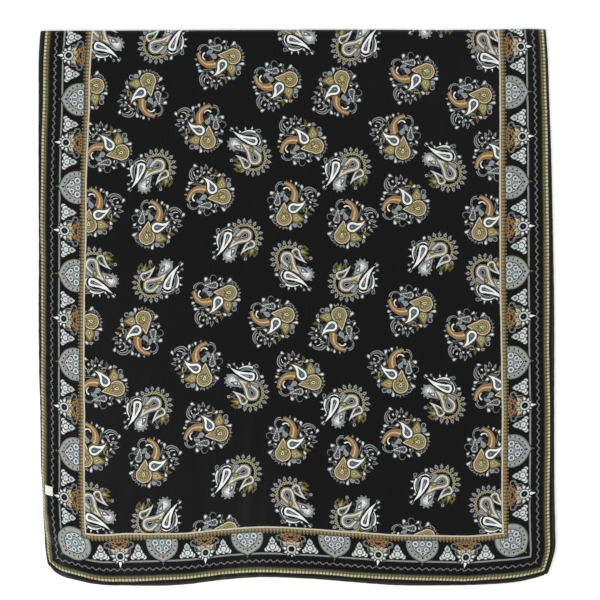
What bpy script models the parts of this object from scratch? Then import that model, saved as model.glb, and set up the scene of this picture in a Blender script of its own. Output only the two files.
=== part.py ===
# An oblong satin scarf, folded once across and laid flat with the print outwards.
# Metres, +Z up.  The fold lies at +Y, the end hem at -Y, and the half that shows faces +Z.
#
# Every point of the half that shows is front_point(across, down), where "across" runs from 0 at
# the left hem's outer edge to 1 at the right hem's, and "down" is the distance along the cloth
# from the crest of the fold.  It takes in the whole roll of the fold, down to the surface, where
# the half underneath begins: the same outline, flat.

import math

import bmesh
import bpy
import numpy as np
from mathutils import Vector

for old in list(bpy.data.objects):
    bpy.data.objects.remove(old, do_unlink=True)

# ---------------------------------------------------------------- driving sizes
CUT_WIDTH = 0.711  # hem to hem
CUT_LENGTH = 1.524  # end hem to end hem, opened out
HALF_LENGTH = CUT_LENGTH / 2
WALL = 0.001
SEAM_GAP = 0.0003
PROBE = 0.0005  # step for finding which way the cloth faces
HEM_WIDTH = 0.005
HEM_DEPTH = 0.002
HEM_PROUD = 0.0002  # how far a hem's crown stands over the face of the cloth beside it

FOLD_RADIUS = 0.003  # outside of the roll where the cloth turns under
FOLD_RISE_LENGTH = 0.045  # the face sinks from the top of the roll to the flat over this length
TURN = FOLD_RADIUS * math.pi / 2  # length of cloth in a quarter of the roll

REST_FACE = 2 * WALL + SEAM_GAP  # height of the printed face away from hems and folds
HEM_FACE = 2 * HEM_DEPTH + SEAM_GAP + HEM_PROUD  # height of the face where hem lies on hem
HEM_RISE_LENGTH = 0.028  # how fast the face sinks away from a hem

# The left hem stands up and curls under for a stretch of its lower half.
CURL_CENTRE = 0.669  # down from the fold
CURL_HALF_LENGTH = 0.075
CURL_ANGLE = math.radians(78)
CURL_CLOTH = 0.0085  # width of cloth that is bent
CURL_REACH = 0.055  # how far in from the edge the cloth is lifted by it

# The half underneath lies a little inside the outline, so that only its edge shows.
BACK_INSET = 0.0015
BACK_INSET_LENGTH = 0.080  # it comes in over this length, starting at the fold

# The outline of the half that shows, before the curl: its two sides, its end and its fold.
SIDE_COLUMNS = ("down", "x")
LEFT_ROWS = (
    (0.000, -0.3514),
    (0.029, -0.3541),
    (0.100, -0.3555),
    (0.242, -0.3555),
    (0.385, -0.3541),
    (0.527, -0.3528),
    (0.598, -0.3520),
    (0.669, -0.3510),
    (0.698, -0.3482),
    (0.716, -0.3455),
    (0.741, -0.3440),
    (0.762, -0.3412),
)
RIGHT_ROWS = (
    (0.000, 0.3418),
    (0.030, 0.3445),
    (0.100, 0.3473),
    (0.170, 0.3498),
    (0.309, 0.3528),
    (0.379, 0.3540),
    (0.519, 0.3541),
    (0.658, 0.3546),
    (0.700, 0.3554),
    (0.728, 0.3552),
    (0.742, 0.3518),
    (0.762, 0.3450),
)
END_COLUMNS = ("across", "y")
END_ROWS = (
    (0.000, -0.3521),
    (0.018, -0.3640),
    (0.055, -0.3733),
    (0.105, -0.3808),
    (0.165, -0.3820),
    (0.275, -0.3805),
    (0.355, -0.3738),
    (0.435, -0.3695),
    (0.520, -0.3722),
    (0.615, -0.3777),
    (0.690, -0.3810),
    (0.790, -0.3820),
    (0.875, -0.3804),
    (0.935, -0.3764),
    (0.975, -0.3712),
    (1.000, -0.3658),
)
FOLD_ROWS = (
    (0.00, 0.3802),
    (0.30, 0.3810),
    (0.60, 0.3818),
    (0.90, 0.3820),
    (0.96, 0.3830),
    (1.00, 0.3820),
)
OUTLINE_MIDDLE = (-0.0001, 0.0004)  # of the box round the outline that the tables give

# Soft ridges of the half that shows: where each starts, which way it runs, and its form.
# "across" and "up" place its foot, "up" being the distance above the end hem.
RIDGE_COLUMNS = ("across", "up", "bearing", "length", "half_width", "height")
RIDGE_ROWS = (
    (0.455, 0.000, 84.0, 0.300, 0.050, 0.0060),
    (0.045, 0.000, 62.0, 0.190, 0.030, 0.0045),
    (0.930, 0.000, 112.0, 0.210, 0.032, 0.0040),
    (0.690, 0.000, 95.0, 0.130, 0.040, 0.0022),
    (0.220, 0.000, 88.0, 0.150, 0.040, 0.0020),
    (0.955, 0.762, -98.0, 0.160, 0.026, 0.0022),
    (0.300, 0.762, -84.0, 0.120, 0.045, 0.0016),
)

LABEL_WIDTH = 0.0100
LABEL_HEIGHT = 0.0115
LABEL_DEPTH = 0.0008
LABEL_FROM_EDGE = 0.0072  # its near corner, along the cloth
LABEL_DOWN = 0.6480
LABEL_TILT = math.radians(-14)

# Lines of the grids that the walls are made on
FRONT_LINES_ACROSS = 24
FRONT_LINES_DOWN = 30
BACK_LINES_ACROSS = 20
BACK_LINES_DOWN = 18
EDGE_LINES = (0.0012, 0.005, 0.012, 0.021, 0.034)  # near a side, in from the wall's edge
ROLL_LINES = 9  # round the fold, from the surface up to the face
RISE_LINES = (0.22, 0.55)  # shares of the way from the roll to the flat
LABEL_LINES = 4

PRINT_COLOUR = (0.020, 0.019, 0.022, 1.0)
HEM_COLOUR = (0.012, 0.012, 0.014, 1.0)
LABEL_COLOUR = (0.86, 0.85, 0.82, 1.0)


# ---------------------------------------------------------------- the form in numbers
def column(rows, columns, name):
    """One named column of a table, as an array."""
    return np.array([row[columns.index(name)] for row in rows])


def smooth_through(xs, ys, x):
    """Cubic curve through the points (xs, ys): each piece is a Hermite cubic between two of
    them, with the slope at a point taken from its two neighbours."""
    slopes = np.gradient(ys, xs)
    i = int(np.clip(np.searchsorted(xs, x) - 1, 0, len(xs) - 2))
    step = xs[i + 1] - xs[i]
    t = min(max((x - xs[i]) / step, 0.0), 1.0)
    return (
        (2 * t**3 - 3 * t**2 + 1) * ys[i]
        + (t**3 - 2 * t**2 + t) * step * slopes[i]
        + (3 * t**2 - 2 * t**3) * ys[i + 1]
        + (t**3 - t**2) * step * slopes[i + 1]
    )


def side_x(rows, down):
    return smooth_through(
        column(rows, SIDE_COLUMNS, "down"), column(rows, SIDE_COLUMNS, "x"), down
    )


def end_y(rows, across):
    return smooth_through(
        column(rows, END_COLUMNS, "across"), column(rows, END_COLUMNS, "y"), across
    )


def ease(x):
    """0 below 0, 1 above 1, and a smooth S between."""
    x = min(max(x, 0.0), 1.0)
    return x * x * (3 - 2 * x)


def plan_point(across, down):
    """Where a point of the cloth lies, seen from above, before the curl: between the two side
    lines by "across", and between the crest of the fold and the end hem by "down"."""
    left, right = side_x(LEFT_ROWS, down), side_x(RIGHT_ROWS, down)
    top, foot = end_y(FOLD_ROWS, across), end_y(END_ROWS, across)
    if down < TURN:
        y = top - FOLD_RADIUS * (1 - math.cos(down / FOLD_RADIUS))
    else:
        share = (down - TURN) / (HALF_LENGTH - TURN)
        y = (top - FOLD_RADIUS) + share * (foot - top + FOLD_RADIUS)
    x = left + across * (right - left)
    return x - OUTLINE_MIDDLE[0], y - OUTLINE_MIDDLE[1]


def ridge_height(across, up):
    """Sum of the ridges: each is highest a fifth of the way along its line, dies out towards
    its far end, and falls away to both sides as a bell."""
    total = 0.0
    for row in RIDGE_ROWS:
        ridge = dict(zip(RIDGE_COLUMNS, row))
        way = math.radians(ridge["bearing"])
        dx = (across - ridge["across"]) * CUT_WIDTH
        dy = up - ridge["up"]
        along = (dx * math.cos(way) + dy * math.sin(way)) / ridge["length"]
        aside = (dx * math.sin(way) - dy * math.cos(way)) / ridge["half_width"]
        total += ridge["height"] * (1 - ease((along - 0.2) / 0.8)) * math.exp(-aside * aside)
    return total


def curl_at(down):
    """How much of the full curl there is at this distance from the fold, from 0 to 1."""
    return 1 - ease(abs(down - CURL_CENTRE) / CURL_HALF_LENGTH)


def front_point(across, down):
    """A point of the printed face of the half that shows.  "down" below zero is on the lower
    side of the roll."""
    x, y = plan_point(across, down)
    if down < TURN:
        turned = down / FOLD_RADIUS
        return Vector((x, y, FOLD_RADIUS + FOLD_RADIUS * math.sin(turned)))
    up = HALF_LENGTH - down
    from_side = min(across, 1 - across) * CUT_WIDTH
    from_hem = min(from_side, up)
    hem_share = math.exp(-((from_hem / HEM_RISE_LENGTH) ** 2))
    fold_share = 1 - ease((down - TURN) / FOLD_RISE_LENGTH)
    z = REST_FACE + (HEM_FACE - REST_FACE) * hem_share
    z += (2 * FOLD_RADIUS - z) * fold_share
    z += ridge_height(across, up) * (1 - fold_share)

    # the curl: the cloth is lifted near the left edge, and its last stretch bends down round
    # an arc, so that the edge itself ends no higher than it would have been
    curl = curl_at(down)
    from_left = across * CUT_WIDTH
    angle = CURL_ANGLE * curl
    if angle > 0:
        radius = CURL_CLOTH / angle
        drop = radius * (1 - math.cos(angle))
        z += drop * (1 - ease((from_left - CURL_CLOTH) / CURL_REACH))
        bent = max(CURL_CLOTH - from_left, 0.0)
        x += bent - radius * math.sin(bent / radius)
        z -= radius * (1 - math.cos(bent / radius))
    return Vector((x, y, z))


def back_point(across, down):
    """A point of the printed face of the half underneath, flat on the surface.  Its edges lie
    inside the outline, and follow the left hem in where that curls."""
    inset = BACK_INSET * ease((down - TURN) / BACK_INSET_LENGTH)
    inner_across = across + (1 - 2 * across) * inset / CUT_WIDTH
    inner_down = down * (1 - inset / HALF_LENGTH)
    x, y = plan_point(inner_across, inner_down)
    angle = CURL_ANGLE * curl_at(down)
    if angle > 0:
        pull = CURL_CLOTH * (1 - math.sin(angle) / angle)
        x += pull * (1 - ease(across * CUT_WIDTH / CURL_REACH))
    return Vector((x, y, 0.0))


# ---------------------------------------------------------------- lines of the grids
EDGE_ACROSS = (HEM_WIDTH + SEAM_GAP) / CUT_WIDTH  # the wall starts here, inside the side hem
EDGE_DOWN = HALF_LENGTH - HEM_WIDTH - SEAM_GAP


def front_lines_across():
    """Values of "across": even steps between the side hems, and closer ones near each side."""
    near = [EDGE_ACROSS + inset / CUT_WIDTH for inset in EDGE_LINES]
    middle = np.linspace(near[-1], 1 - near[-1], FRONT_LINES_ACROSS)
    left = [EDGE_ACROSS] + near[:-1]
    return left + list(middle) + [1 - a for a in reversed(left)]


def front_lines_down():
    """Values of "down": steps round the roll of the fold, two on the way to the flat, then even
    steps to the end hem."""
    roll = np.linspace(-TURN, TURN, ROLL_LINES)
    rise = TURN + FOLD_RISE_LENGTH * np.array(RISE_LINES)
    flat = np.linspace(TURN + FOLD_RISE_LENGTH, EDGE_DOWN, FRONT_LINES_DOWN)
    return list(roll) + list(rise) + list(flat)


# ---------------------------------------------------------------- making the solids
scarf = bpy.data.collections.new("Oblong scarf")
bpy.context.scene.collection.children.link(scarf)


def material(name, colour, roughness):
    finish = bpy.data.materials.new(name)
    finish.use_nodes = True
    shader = finish.node_tree.nodes["Principled BSDF"]
    shader.inputs["Base Color"].default_value = colour
    shader.inputs["Roughness"].default_value = roughness
    shader.inputs["Metallic"].default_value = 0.0
    return finish


def add_object(name, mesh, finish):
    mesh.materials.append(finish)
    mesh.shade_smooth()
    mesh.set_sharp_from_angle(angle=math.radians(40))
    piece = bpy.data.objects.new(name, mesh)
    scarf.objects.link(piece)
    return piece


def cloth_wall(name, point, across_lines, down_lines, faces_up, finish, depth=WALL):
    """A sheet through point(across, down), thickened away from its printed face."""
    columns, rows = len(across_lines), len(down_lines)
    shape = bmesh.new()
    bmesh.ops.create_grid(shape, x_segments=columns - 1, y_segments=rows - 1, size=1.0)
    shape.verts.ensure_lookup_table()
    for vert in shape.verts:
        i = round((vert.co.x + 1) / 2 * (columns - 1))
        j = round((1 - vert.co.y) / 2 * (rows - 1))
        vert.co = point(across_lines[i], down_lines[j])
    if not faces_up:
        bmesh.ops.reverse_faces(shape, faces=shape.faces)
    mesh = bpy.data.meshes.new(name)
    shape.to_mesh(mesh)
    shape.free()
    piece = add_object(name, mesh, finish)
    wall = piece.modifiers.new("Wall", "SOLIDIFY")
    wall.thickness = depth
    wall.offset = -1.0
    wall.use_even_offset = True
    return piece


def hem_section(proud):
    """The hem's section, from its outer edge in: how far in from the edge of the cloth, and how
    far behind the printed face.  Its crown stands "proud" of the face."""
    return (
        (0.00 * HEM_WIDTH, 0.30 * HEM_DEPTH),
        (0.14 * HEM_WIDTH, 0.00),
        (0.50 * HEM_WIDTH, -proud),
        (0.86 * HEM_WIDTH, 0.00),
        (1.00 * HEM_WIDTH, 0.30 * HEM_DEPTH),
        (1.00 * HEM_WIDTH, 0.85 * HEM_DEPTH),
        (0.86 * HEM_WIDTH, 1.00 * HEM_DEPTH),
        (0.14 * HEM_WIDTH, 1.00 * HEM_DEPTH),
        (0.00 * HEM_WIDTH, 0.85 * HEM_DEPTH),
    )


def behind(place, along, inset, depth, facing):
    """The point "depth" behind the printed face, square to it."""
    here = place(along, inset)
    aside = place(along, inset + PROBE) - here
    ahead = place(along + PROBE, inset) - here
    return here - aside.cross(ahead).normalized() * (depth * facing)


def hem_strip(name, place, along_lines, facing, proud, finish):
    """A rolled hem: a low rounded section carried along the edge.  place(along, inset) gives a
    point of the printed face, "inset" being the distance in from the outer edge, and "facing"
    is 1 or -1, whichever way round that makes the face look outwards."""
    shape = bmesh.new()
    section = hem_section(proud)
    rings = []
    for along in along_lines:
        points = [behind(place, along, inset, depth, facing) for inset, depth in section]
        for point in points:
            point.z = max(point.z, 0.0)  # it is pressed flat where it lies on the surface
        rings.append([shape.verts.new(point) for point in points])
    count = len(section)
    for first, second in zip(rings, rings[1:]):
        for k in range(count):
            shape.faces.new((first[k], first[(k + 1) % count], second[(k + 1) % count], second[k]))
    shape.faces.new(rings[0])
    shape.faces.new(list(reversed(rings[-1])))
    bmesh.ops.recalc_face_normals(shape, faces=shape.faces)
    mesh = bpy.data.meshes.new(name)
    shape.to_mesh(mesh)
    shape.free()
    return add_object(name, mesh, finish)


def side_place(point, from_right):
    """Points along a side hem, for hem_strip."""

    def place(down, inset):
        across = inset / CUT_WIDTH
        return point(1 - across if from_right else across, down)

    return place


def end_place(point):
    """Points along the end hem, for hem_strip."""

    def place(across, inset):
        return point(across, HALF_LENGTH - inset)

    return place


def make_hems(half, point, across, down, facing, proud, finish):
    """The two side hems run the whole length; the end hem stops a seam gap short of each."""
    side_lines = down + [HALF_LENGTH]
    hem_strip(f"{half}_left_hem", side_place(point, False), side_lines, facing, proud, finish)
    hem_strip(f"{half}_right_hem", side_place(point, True), side_lines, -facing, proud, finish)
    hem_strip(f"{half}_end_hem", end_place(point), across, facing, proud, finish)


def make_front(print_finish, hem_finish):
    across, down = front_lines_across(), front_lines_down()
    cloth_wall("front_half", front_point, across, down, True, print_finish)
    make_hems("front", front_point, across, down, -1, HEM_PROUD, hem_finish)


def make_back(print_finish, hem_finish):
    across = list(np.linspace(EDGE_ACROSS, 1 - EDGE_ACROSS, BACK_LINES_ACROSS))
    down = list(np.linspace(TURN + SEAM_GAP, EDGE_DOWN, BACK_LINES_DOWN))
    cloth_wall("back_half", back_point, across, down, False, print_finish)
    make_hems("back", back_point, across, down, 1, 0.0, hem_finish)


def make_label(finish):
    """A small folded label, sewn under the left hem and lying out over the face."""
    place = side_place(front_point, False)
    middle_inset = LABEL_FROM_EDGE + LABEL_WIDTH / 2
    lifted = -(SEAM_GAP + LABEL_DEPTH)

    def point(right, below):
        dx, dy = (right - 0.5) * LABEL_WIDTH, (below - 0.5) * LABEL_HEIGHT
        turned_x = dx * math.cos(LABEL_TILT) + dy * math.sin(LABEL_TILT)
        turned_y = dy * math.cos(LABEL_TILT) - dx * math.sin(LABEL_TILT)
        return behind(place, LABEL_DOWN + turned_y, middle_inset + turned_x, lifted, -1)

    lines = list(np.linspace(0, 1, LABEL_LINES))
    cloth_wall("side_label", point, lines, lines, True, finish, depth=LABEL_DEPTH)


printed_satin = material("Printed satin", PRINT_COLOUR, 0.42)
rolled_hem = material("Rolled hem", HEM_COLOUR, 0.50)
label_tape = material("Label tape", LABEL_COLOUR, 0.60)

make_front(printed_satin, rolled_hem)
make_back(printed_satin, rolled_hem)
make_label(label_tape)
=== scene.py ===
# %% [markdown]
# # An oblong paisley scarf, folded once and laid flat
# The real thing is one long piece of black printed satin with narrow rolled hems.  It is folded
# across the middle, print outwards, and seen from straight above.  This lesson dresses the packed
# solids in four steps: the cloth as one thin shell, its hems and sewing, the print as shader
# nodes, and a studio to look at it in.

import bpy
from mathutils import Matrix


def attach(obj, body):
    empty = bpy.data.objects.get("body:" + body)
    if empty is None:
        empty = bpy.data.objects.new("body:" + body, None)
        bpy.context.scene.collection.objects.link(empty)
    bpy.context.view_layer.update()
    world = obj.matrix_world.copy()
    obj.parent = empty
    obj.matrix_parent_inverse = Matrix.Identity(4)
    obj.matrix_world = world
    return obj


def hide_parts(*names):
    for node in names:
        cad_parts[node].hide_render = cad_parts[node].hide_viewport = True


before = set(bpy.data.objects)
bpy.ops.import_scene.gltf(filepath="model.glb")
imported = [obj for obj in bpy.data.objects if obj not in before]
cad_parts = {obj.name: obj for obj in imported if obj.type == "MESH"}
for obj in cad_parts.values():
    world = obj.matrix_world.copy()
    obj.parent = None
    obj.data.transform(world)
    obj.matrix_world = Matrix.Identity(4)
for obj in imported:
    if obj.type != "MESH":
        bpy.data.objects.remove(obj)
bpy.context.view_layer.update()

import math

import bpy
import numpy as np

# %% [markdown]
# ## The camera
# The photograph is a cut-out seen straight from above, so a long lens looks down the Z axis and
# the top of the picture is +Y.  The distance follows from how much of the table the frame shows.

# %% Camera
FRAME_WIDTH = 0.8257  # metres of the table that the square frame takes in
LENS, SENSOR = 85.0, 36.0  # millimetres
CAMERA_AIM = (0.0048, 0.00985)

camera_data = bpy.data.cameras.new("Camera")
camera_data.lens = LENS
camera_data.sensor_width = SENSOR
camera = bpy.data.objects.new("Camera", camera_data)
camera.location = (*CAMERA_AIM, FRAME_WIDTH * LENS / SENSOR)
bpy.context.scene.collection.objects.link(camera)
bpy.context.scene.camera = camera
print("camera height", round(camera.location.z, 3))

# %% [markdown]
# ## The form of the cloth
# A point of the cloth has two numbers, both in metres along the cloth: u from the left hem's
# outer edge, and v from the end hem, over the fold, to the other end hem.  The tables and formulas
# are the solids' own, worked out for whole arrays at once, but the left outline follows the
# photograph a little more closely here, by up to 1.5 mm.

# %% Sizes
CUT_WIDTH = 0.711
CUT_LENGTH = 1.524
HALF_LENGTH = CUT_LENGTH / 2
WALL = 0.001
SEAM_GAP = 0.0003
HEM_WIDTH = 0.005
HEM_DEPTH = 0.002
HEM_PROUD = 0.0002
FOLD_RADIUS = 0.003
FOLD_RISE_LENGTH = 0.045
TURN = FOLD_RADIUS * math.pi / 2
REST_FACE = 2 * WALL + SEAM_GAP
HEM_FACE = 2 * HEM_DEPTH + SEAM_GAP + HEM_PROUD
HEM_RISE_LENGTH = 0.028
CURL_CENTRE, CURL_HALF_LENGTH = 0.669, 0.075
CURL_ANGLE = math.radians(78)
CURL_CLOTH, CURL_REACH = 0.0085, 0.055
BACK_INSET, BACK_INSET_LENGTH = 0.0015, 0.080
OUTLINE_MIDDLE = (-0.0001, 0.0004)

# metres down from the fold, and x
LEFT_ROWS = (
    (0.000, -0.3514), (0.029, -0.3538), (0.100, -0.3545), (0.242, -0.3545),
    (0.321, -0.3542), (0.385, -0.3545), (0.420, -0.3545), (0.460, -0.3541),
    (0.500, -0.3536), (0.527, -0.3526), (0.598, -0.3516), (0.669, -0.3508),
    (0.698, -0.3490), (0.716, -0.3468), (0.741, -0.3450), (0.762, -0.3418),
)
RIGHT_ROWS = (
    (0.000, 0.3418), (0.030, 0.3445), (0.100, 0.3473), (0.170, 0.3498),
    (0.309, 0.3528), (0.379, 0.3540), (0.519, 0.3541), (0.658, 0.3546),
    (0.700, 0.3554), (0.728, 0.3552), (0.742, 0.3518), (0.762, 0.3450),
)
# share of the way across, and y in metres
END_ROWS = (
    (0.000, -0.3521), (0.018, -0.3640), (0.055, -0.3733), (0.105, -0.3808),
    (0.165, -0.3820), (0.275, -0.3805), (0.355, -0.3738), (0.435, -0.3695),
    (0.520, -0.3722), (0.615, -0.3777), (0.690, -0.3810), (0.790, -0.3820),
    (0.875, -0.3804), (0.935, -0.3764), (0.975, -0.3712), (1.000, -0.3658),
)
FOLD_ROWS = (
    (0.00, 0.3802), (0.30, 0.3810), (0.60, 0.3818), (0.90, 0.3820),
    (0.96, 0.3830), (1.00, 0.3820),
)
# Soft ridges, as in the solids: foot (across, up), bearing, length, half width, height
RIDGE_ROWS = (
    (0.455, 0.000, 84.0, 0.300, 0.050, 0.0060),
    (0.045, 0.000, 62.0, 0.190, 0.030, 0.0045),
    (0.930, 0.000, 112.0, 0.210, 0.032, 0.0040),
    (0.690, 0.000, 95.0, 0.130, 0.040, 0.0022),
    (0.220, 0.000, 88.0, 0.150, 0.040, 0.0020),
    (0.955, 0.762, -98.0, 0.160, 0.026, 0.0022),
    (0.300, 0.762, -84.0, 0.120, 0.045, 0.0016),
)
# Finer creases that only this script has, in the same columns
CREASE_ROWS = (
    (0.150, 0.050, 74.0, 0.170, 0.009, 0.0007),
    (0.330, 0.020, 96.0, 0.230, 0.011, -0.0006),
    (0.405, 0.060, 88.0, 0.260, 0.008, 0.0008),
    (0.530, 0.015, 80.0, 0.210, 0.012, -0.0007),
    (0.610, 0.090, 101.0, 0.180, 0.008, 0.0006),
    (0.780, 0.030, 84.0, 0.240, 0.010, 0.0008),
    (0.860, 0.140, 97.0, 0.150, 0.009, -0.0005),
    (0.060, 0.260, 68.0, 0.120, 0.010, 0.0006),
    (0.120, 0.480, 82.0, 0.200, 0.012, 0.0005),
    (0.300, 0.400, 93.0, 0.250, 0.014, -0.0005),
    (0.500, 0.350, 86.0, 0.280, 0.012, 0.0006),
    (0.720, 0.420, 98.0, 0.220, 0.011, 0.0005),
    (0.900, 0.470, 104.0, 0.190, 0.010, 0.0007),
    (0.200, 0.755, -88.0, 0.110, 0.008, 0.0006),
    (0.560, 0.755, -94.0, 0.140, 0.010, 0.0006),
    (0.820, 0.755, -86.0, 0.120, 0.008, 0.0005),
)
CREASE_START = 0.25  # share of its length over which a crease begins
RIPPLE_HEIGHT = 0.0005  # of the small waves that a rolled hem puts into the cloth beside it
RIPPLE_REACH = 0.016
print("cut", CUT_WIDTH, "x", CUT_LENGTH, "ridges", len(RIDGE_ROWS), "creases", len(CREASE_ROWS))

# %% [markdown]
# Seen from above, a point lies between the two side outlines and between the fold and the end hem.
# Its height is a sum of ridges and creases, each of which has a foot, a bearing and a length, since
# that is how a folded scarf's soft waves run up from its hems.


# %% Outline, ridges and creases
def smooth_through(rows, x):
    """Cubic curve through a table of (x, y) rows: between two rows it is the Hermite cubic whose
    slope at each row comes from that row's two neighbours."""
    xs, ys = np.array(rows).T
    slopes = np.gradient(ys, xs)
    i = np.clip(np.searchsorted(xs, x) - 1, 0, len(xs) - 2)
    step = xs[i + 1] - xs[i]
    t = np.clip((x - xs[i]) / step, 0, 1)
    return (
        (2 * t**3 - 3 * t**2 + 1) * ys[i]
        + (t**3 - 2 * t**2 + t) * step * slopes[i]
        + (3 * t**2 - 2 * t**3) * ys[i + 1]
        + (t**3 - t**2) * step * slopes[i + 1]
    )


def ease(x):
    """0 below 0, 1 above 1, and x * x * (3 - 2x) between."""
    x = np.clip(x, 0, 1)
    return x * x * (3 - 2 * x)


def plan(across, down):
    """x and y seen from above: x goes from the left outline to the right one with "across", and y
    from the fold's line to the end hem's with "down", after a quarter turn round the fold."""
    left, right = smooth_through(LEFT_ROWS, down), smooth_through(RIGHT_ROWS, down)
    top, foot = smooth_through(FOLD_ROWS, across), smooth_through(END_ROWS, across)
    share = (down - TURN) / (HALF_LENGTH - TURN)
    on_roll = top - FOLD_RADIUS * (1 - np.cos(down / FOLD_RADIUS))
    beyond = (top - FOLD_RADIUS) + share * (foot - top + FOLD_RADIUS)
    y = np.where(down < TURN, on_roll, beyond)
    return left + across * (right - left) - OUTLINE_MIDDLE[0], y - OUTLINE_MIDDLE[1]


def ridges(rows, across, up, soft_start=None):
    """Sum of the rows' ridges: each is full height for a fifth of its length, then dies out as an
    S, and falls away to both sides as a bell, exp(-(aside / half width) ** 2).  With a soft start
    it also rises as an S, over that share of its length."""
    total = np.zeros(np.broadcast(across, up).shape)
    for foot_across, foot_up, bearing, length, half_width, height in rows:
        way = math.radians(bearing)
        dx, dy = (across - foot_across) * CUT_WIDTH, up - foot_up
        along = (dx * math.cos(way) + dy * math.sin(way)) / length
        aside = (dx * math.sin(way) - dy * math.cos(way)) / half_width
        ridge = height * (1 - ease((along - 0.2) / 0.8)) * np.exp(-aside * aside)
        total += ridge * ease(along / soft_start) if soft_start else ridge
    return total


def uneven_waves(s, pitch, drift, drift_length, swell, start):
    """Waves along s, whose pitch drifts to and fro and whose height swells and dies."""
    return np.sin(s / pitch + drift * np.sin(s / drift_length)) * np.sin(s / swell + start)


def fine_creases(across, up):
    """The crease table's ridges, and small waves beside the hems."""
    u = across * CUT_WIDTH
    from_side = np.minimum(u, CUT_WIDTH - u)
    side_waves = uneven_waves(up, 0.0041, 1.7, 0.037, 0.061, 0.4)
    end_waves = uneven_waves(u, 0.0047, 1.5, 0.043, 0.071, 1.1)
    total = ridges(CREASE_ROWS, across, up, CREASE_START)
    total += RIPPLE_HEIGHT * side_waves * np.exp(-((from_side / RIPPLE_REACH) ** 2))
    total += RIPPLE_HEIGHT * end_waves * np.exp(-((up / RIPPLE_REACH) ** 2))
    return total


print("height at the middle", ridges(RIDGE_ROWS, 0.5, HALF_LENGTH / 2).round(5))

# %% [markdown]
# The half that shows is a low plain that rises to its hems and to the fold, and its left hem bends
# down where the real one curls over by the label.  The half underneath lies flat on the table.  A
# cloth simulation could drape both, but it would blur an outline that the photograph gives.


# %% The two halves
def curl_at(down):
    """Share of the full curl of the left hem at this distance from the fold."""
    return 1 - ease(np.abs(down - CURL_CENTRE) / CURL_HALF_LENGTH)


def front_face(across, down):
    """Points of the half that shows and of the roll: a low plain that rises to the hems and to
    the roll, plus the ridges and creases, and the left edge bent down round an arc."""
    flat_x, y = plan(across, down)
    up = HALF_LENGTH - down
    from_hem = np.minimum(np.minimum(across, 1 - across) * CUT_WIDTH, up)
    z = REST_FACE + (HEM_FACE - REST_FACE) * np.exp(-((from_hem / HEM_RISE_LENGTH) ** 2))
    fold_share = 1 - ease((down - TURN) / FOLD_RISE_LENGTH)
    z += (2 * FOLD_RADIUS - z) * fold_share
    z += (ridges(RIDGE_ROWS, across, up) + fine_creases(across, up)) * (1 - fold_share)
    from_left = across * CUT_WIDTH
    angle = np.maximum(CURL_ANGLE * curl_at(down), 1e-6)
    radius = CURL_CLOTH / angle
    bent = np.maximum(CURL_CLOTH - from_left, 0.0)
    z += radius * (1 - np.cos(angle)) * (1 - ease((from_left - CURL_CLOTH) / CURL_REACH))
    z -= radius * (1 - np.cos(bent / radius))
    x = flat_x + bent - radius * np.sin(bent / radius)
    roll_z = FOLD_RADIUS + FOLD_RADIUS * np.sin(down / FOLD_RADIUS)
    on_roll = down < TURN
    return np.stack([np.where(on_roll, flat_x, x), y, np.where(on_roll, roll_z, z)], -1)


def back_face(across, down):
    """Points of the half underneath, flat on the table and a little inside the outline."""
    inset = BACK_INSET * ease((down - TURN) / BACK_INSET_LENGTH)
    x, y = plan(across + (1 - 2 * across) * inset / CUT_WIDTH, down * (1 - inset / HALF_LENGTH))
    angle = np.maximum(CURL_ANGLE * curl_at(down), 1e-6)
    pull = CURL_CLOTH * (1 - np.sin(angle) / angle)
    x = x + pull * (1 - ease(across * CUT_WIDTH / CURL_REACH))
    return np.stack([x, y, np.zeros_like(x)], -1)


def face(u, v):
    """Points of the printed side of the whole cloth."""
    u, v = np.broadcast_arrays(u, v)
    across, down = u / CUT_WIDTH, HALF_LENGTH - v
    front = front_face(across, np.maximum(down, -TURN))
    back = back_face(across, np.maximum(-down, TURN))
    return np.where((down < -TURN)[..., None], back, front)


def unit(vectors):
    """The same directions, of length 1."""
    return vectors / np.linalg.norm(vectors, axis=-1, keepdims=True)


def outward(u, v, probe=0.0004):
    """Normals of the printed side: the cross product of small steps along u and v."""
    along_u = face(u + probe, v) - face(u - probe, v)
    along_v = face(u, v + probe) - face(u, v - probe)
    return unit(np.cross(along_u, along_v))


print("middle of the face", face(CUT_WIDTH / 2, HALF_LENGTH / 2).round(4))

# %% [markdown]
# ## Where the print lies on the cloth
# A printed panel never sits quite square on its cloth.  Here the left hem has taken up a few
# millimetres more of the border than the right one, so the border is worked out in print units,
# of 70 from its edge to the inner cream line, and these tables say where that line lies.

# %% Print layout
BORDER = 70.0  # print units from the uncut edge of the print to the inner cream line
# how far along the edge in mm, the cream line's distance from the hem in mm, and how many print
# units are lost in the hem.  A measuring script worked these rows out from the photograph, and the
# left border's and the first of the end's were then changed by hand.
LEFT_BORDER = (
    (0, 61.6, 3.4), (88, 61.6, 4.6), (170, 60.9, 4.8), (239, 62.5, 4.4), (321, 63.3, 3.0),
    (404, 64.0, 3.3), (486, 66.4, 4.4), (555, 66.9, 3.2), (610, 69.4, 2.4), (651, 71.4, 1.0),
    (692, 72.1, 0.4), (740, 74.4, 0.0), (762, 74.8, 0.0),
)
RIGHT_BORDER = (
    (0, 74.0, -0.6), (89, 74.2, -0.6), (170, 73.3, 1.2), (239, 72.6, 1.2), (321, 74.0, -0.4),
    (403, 75.3, 0.6), (485, 74.2, 1.6), (554, 73.1, 1.7), (608, 71.4, 2.7), (649, 70.0, 3.3),
    (690, 69.0, 3.2), (740, 68.4, 3.6), (762, 68.2, 3.8),
)
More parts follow.
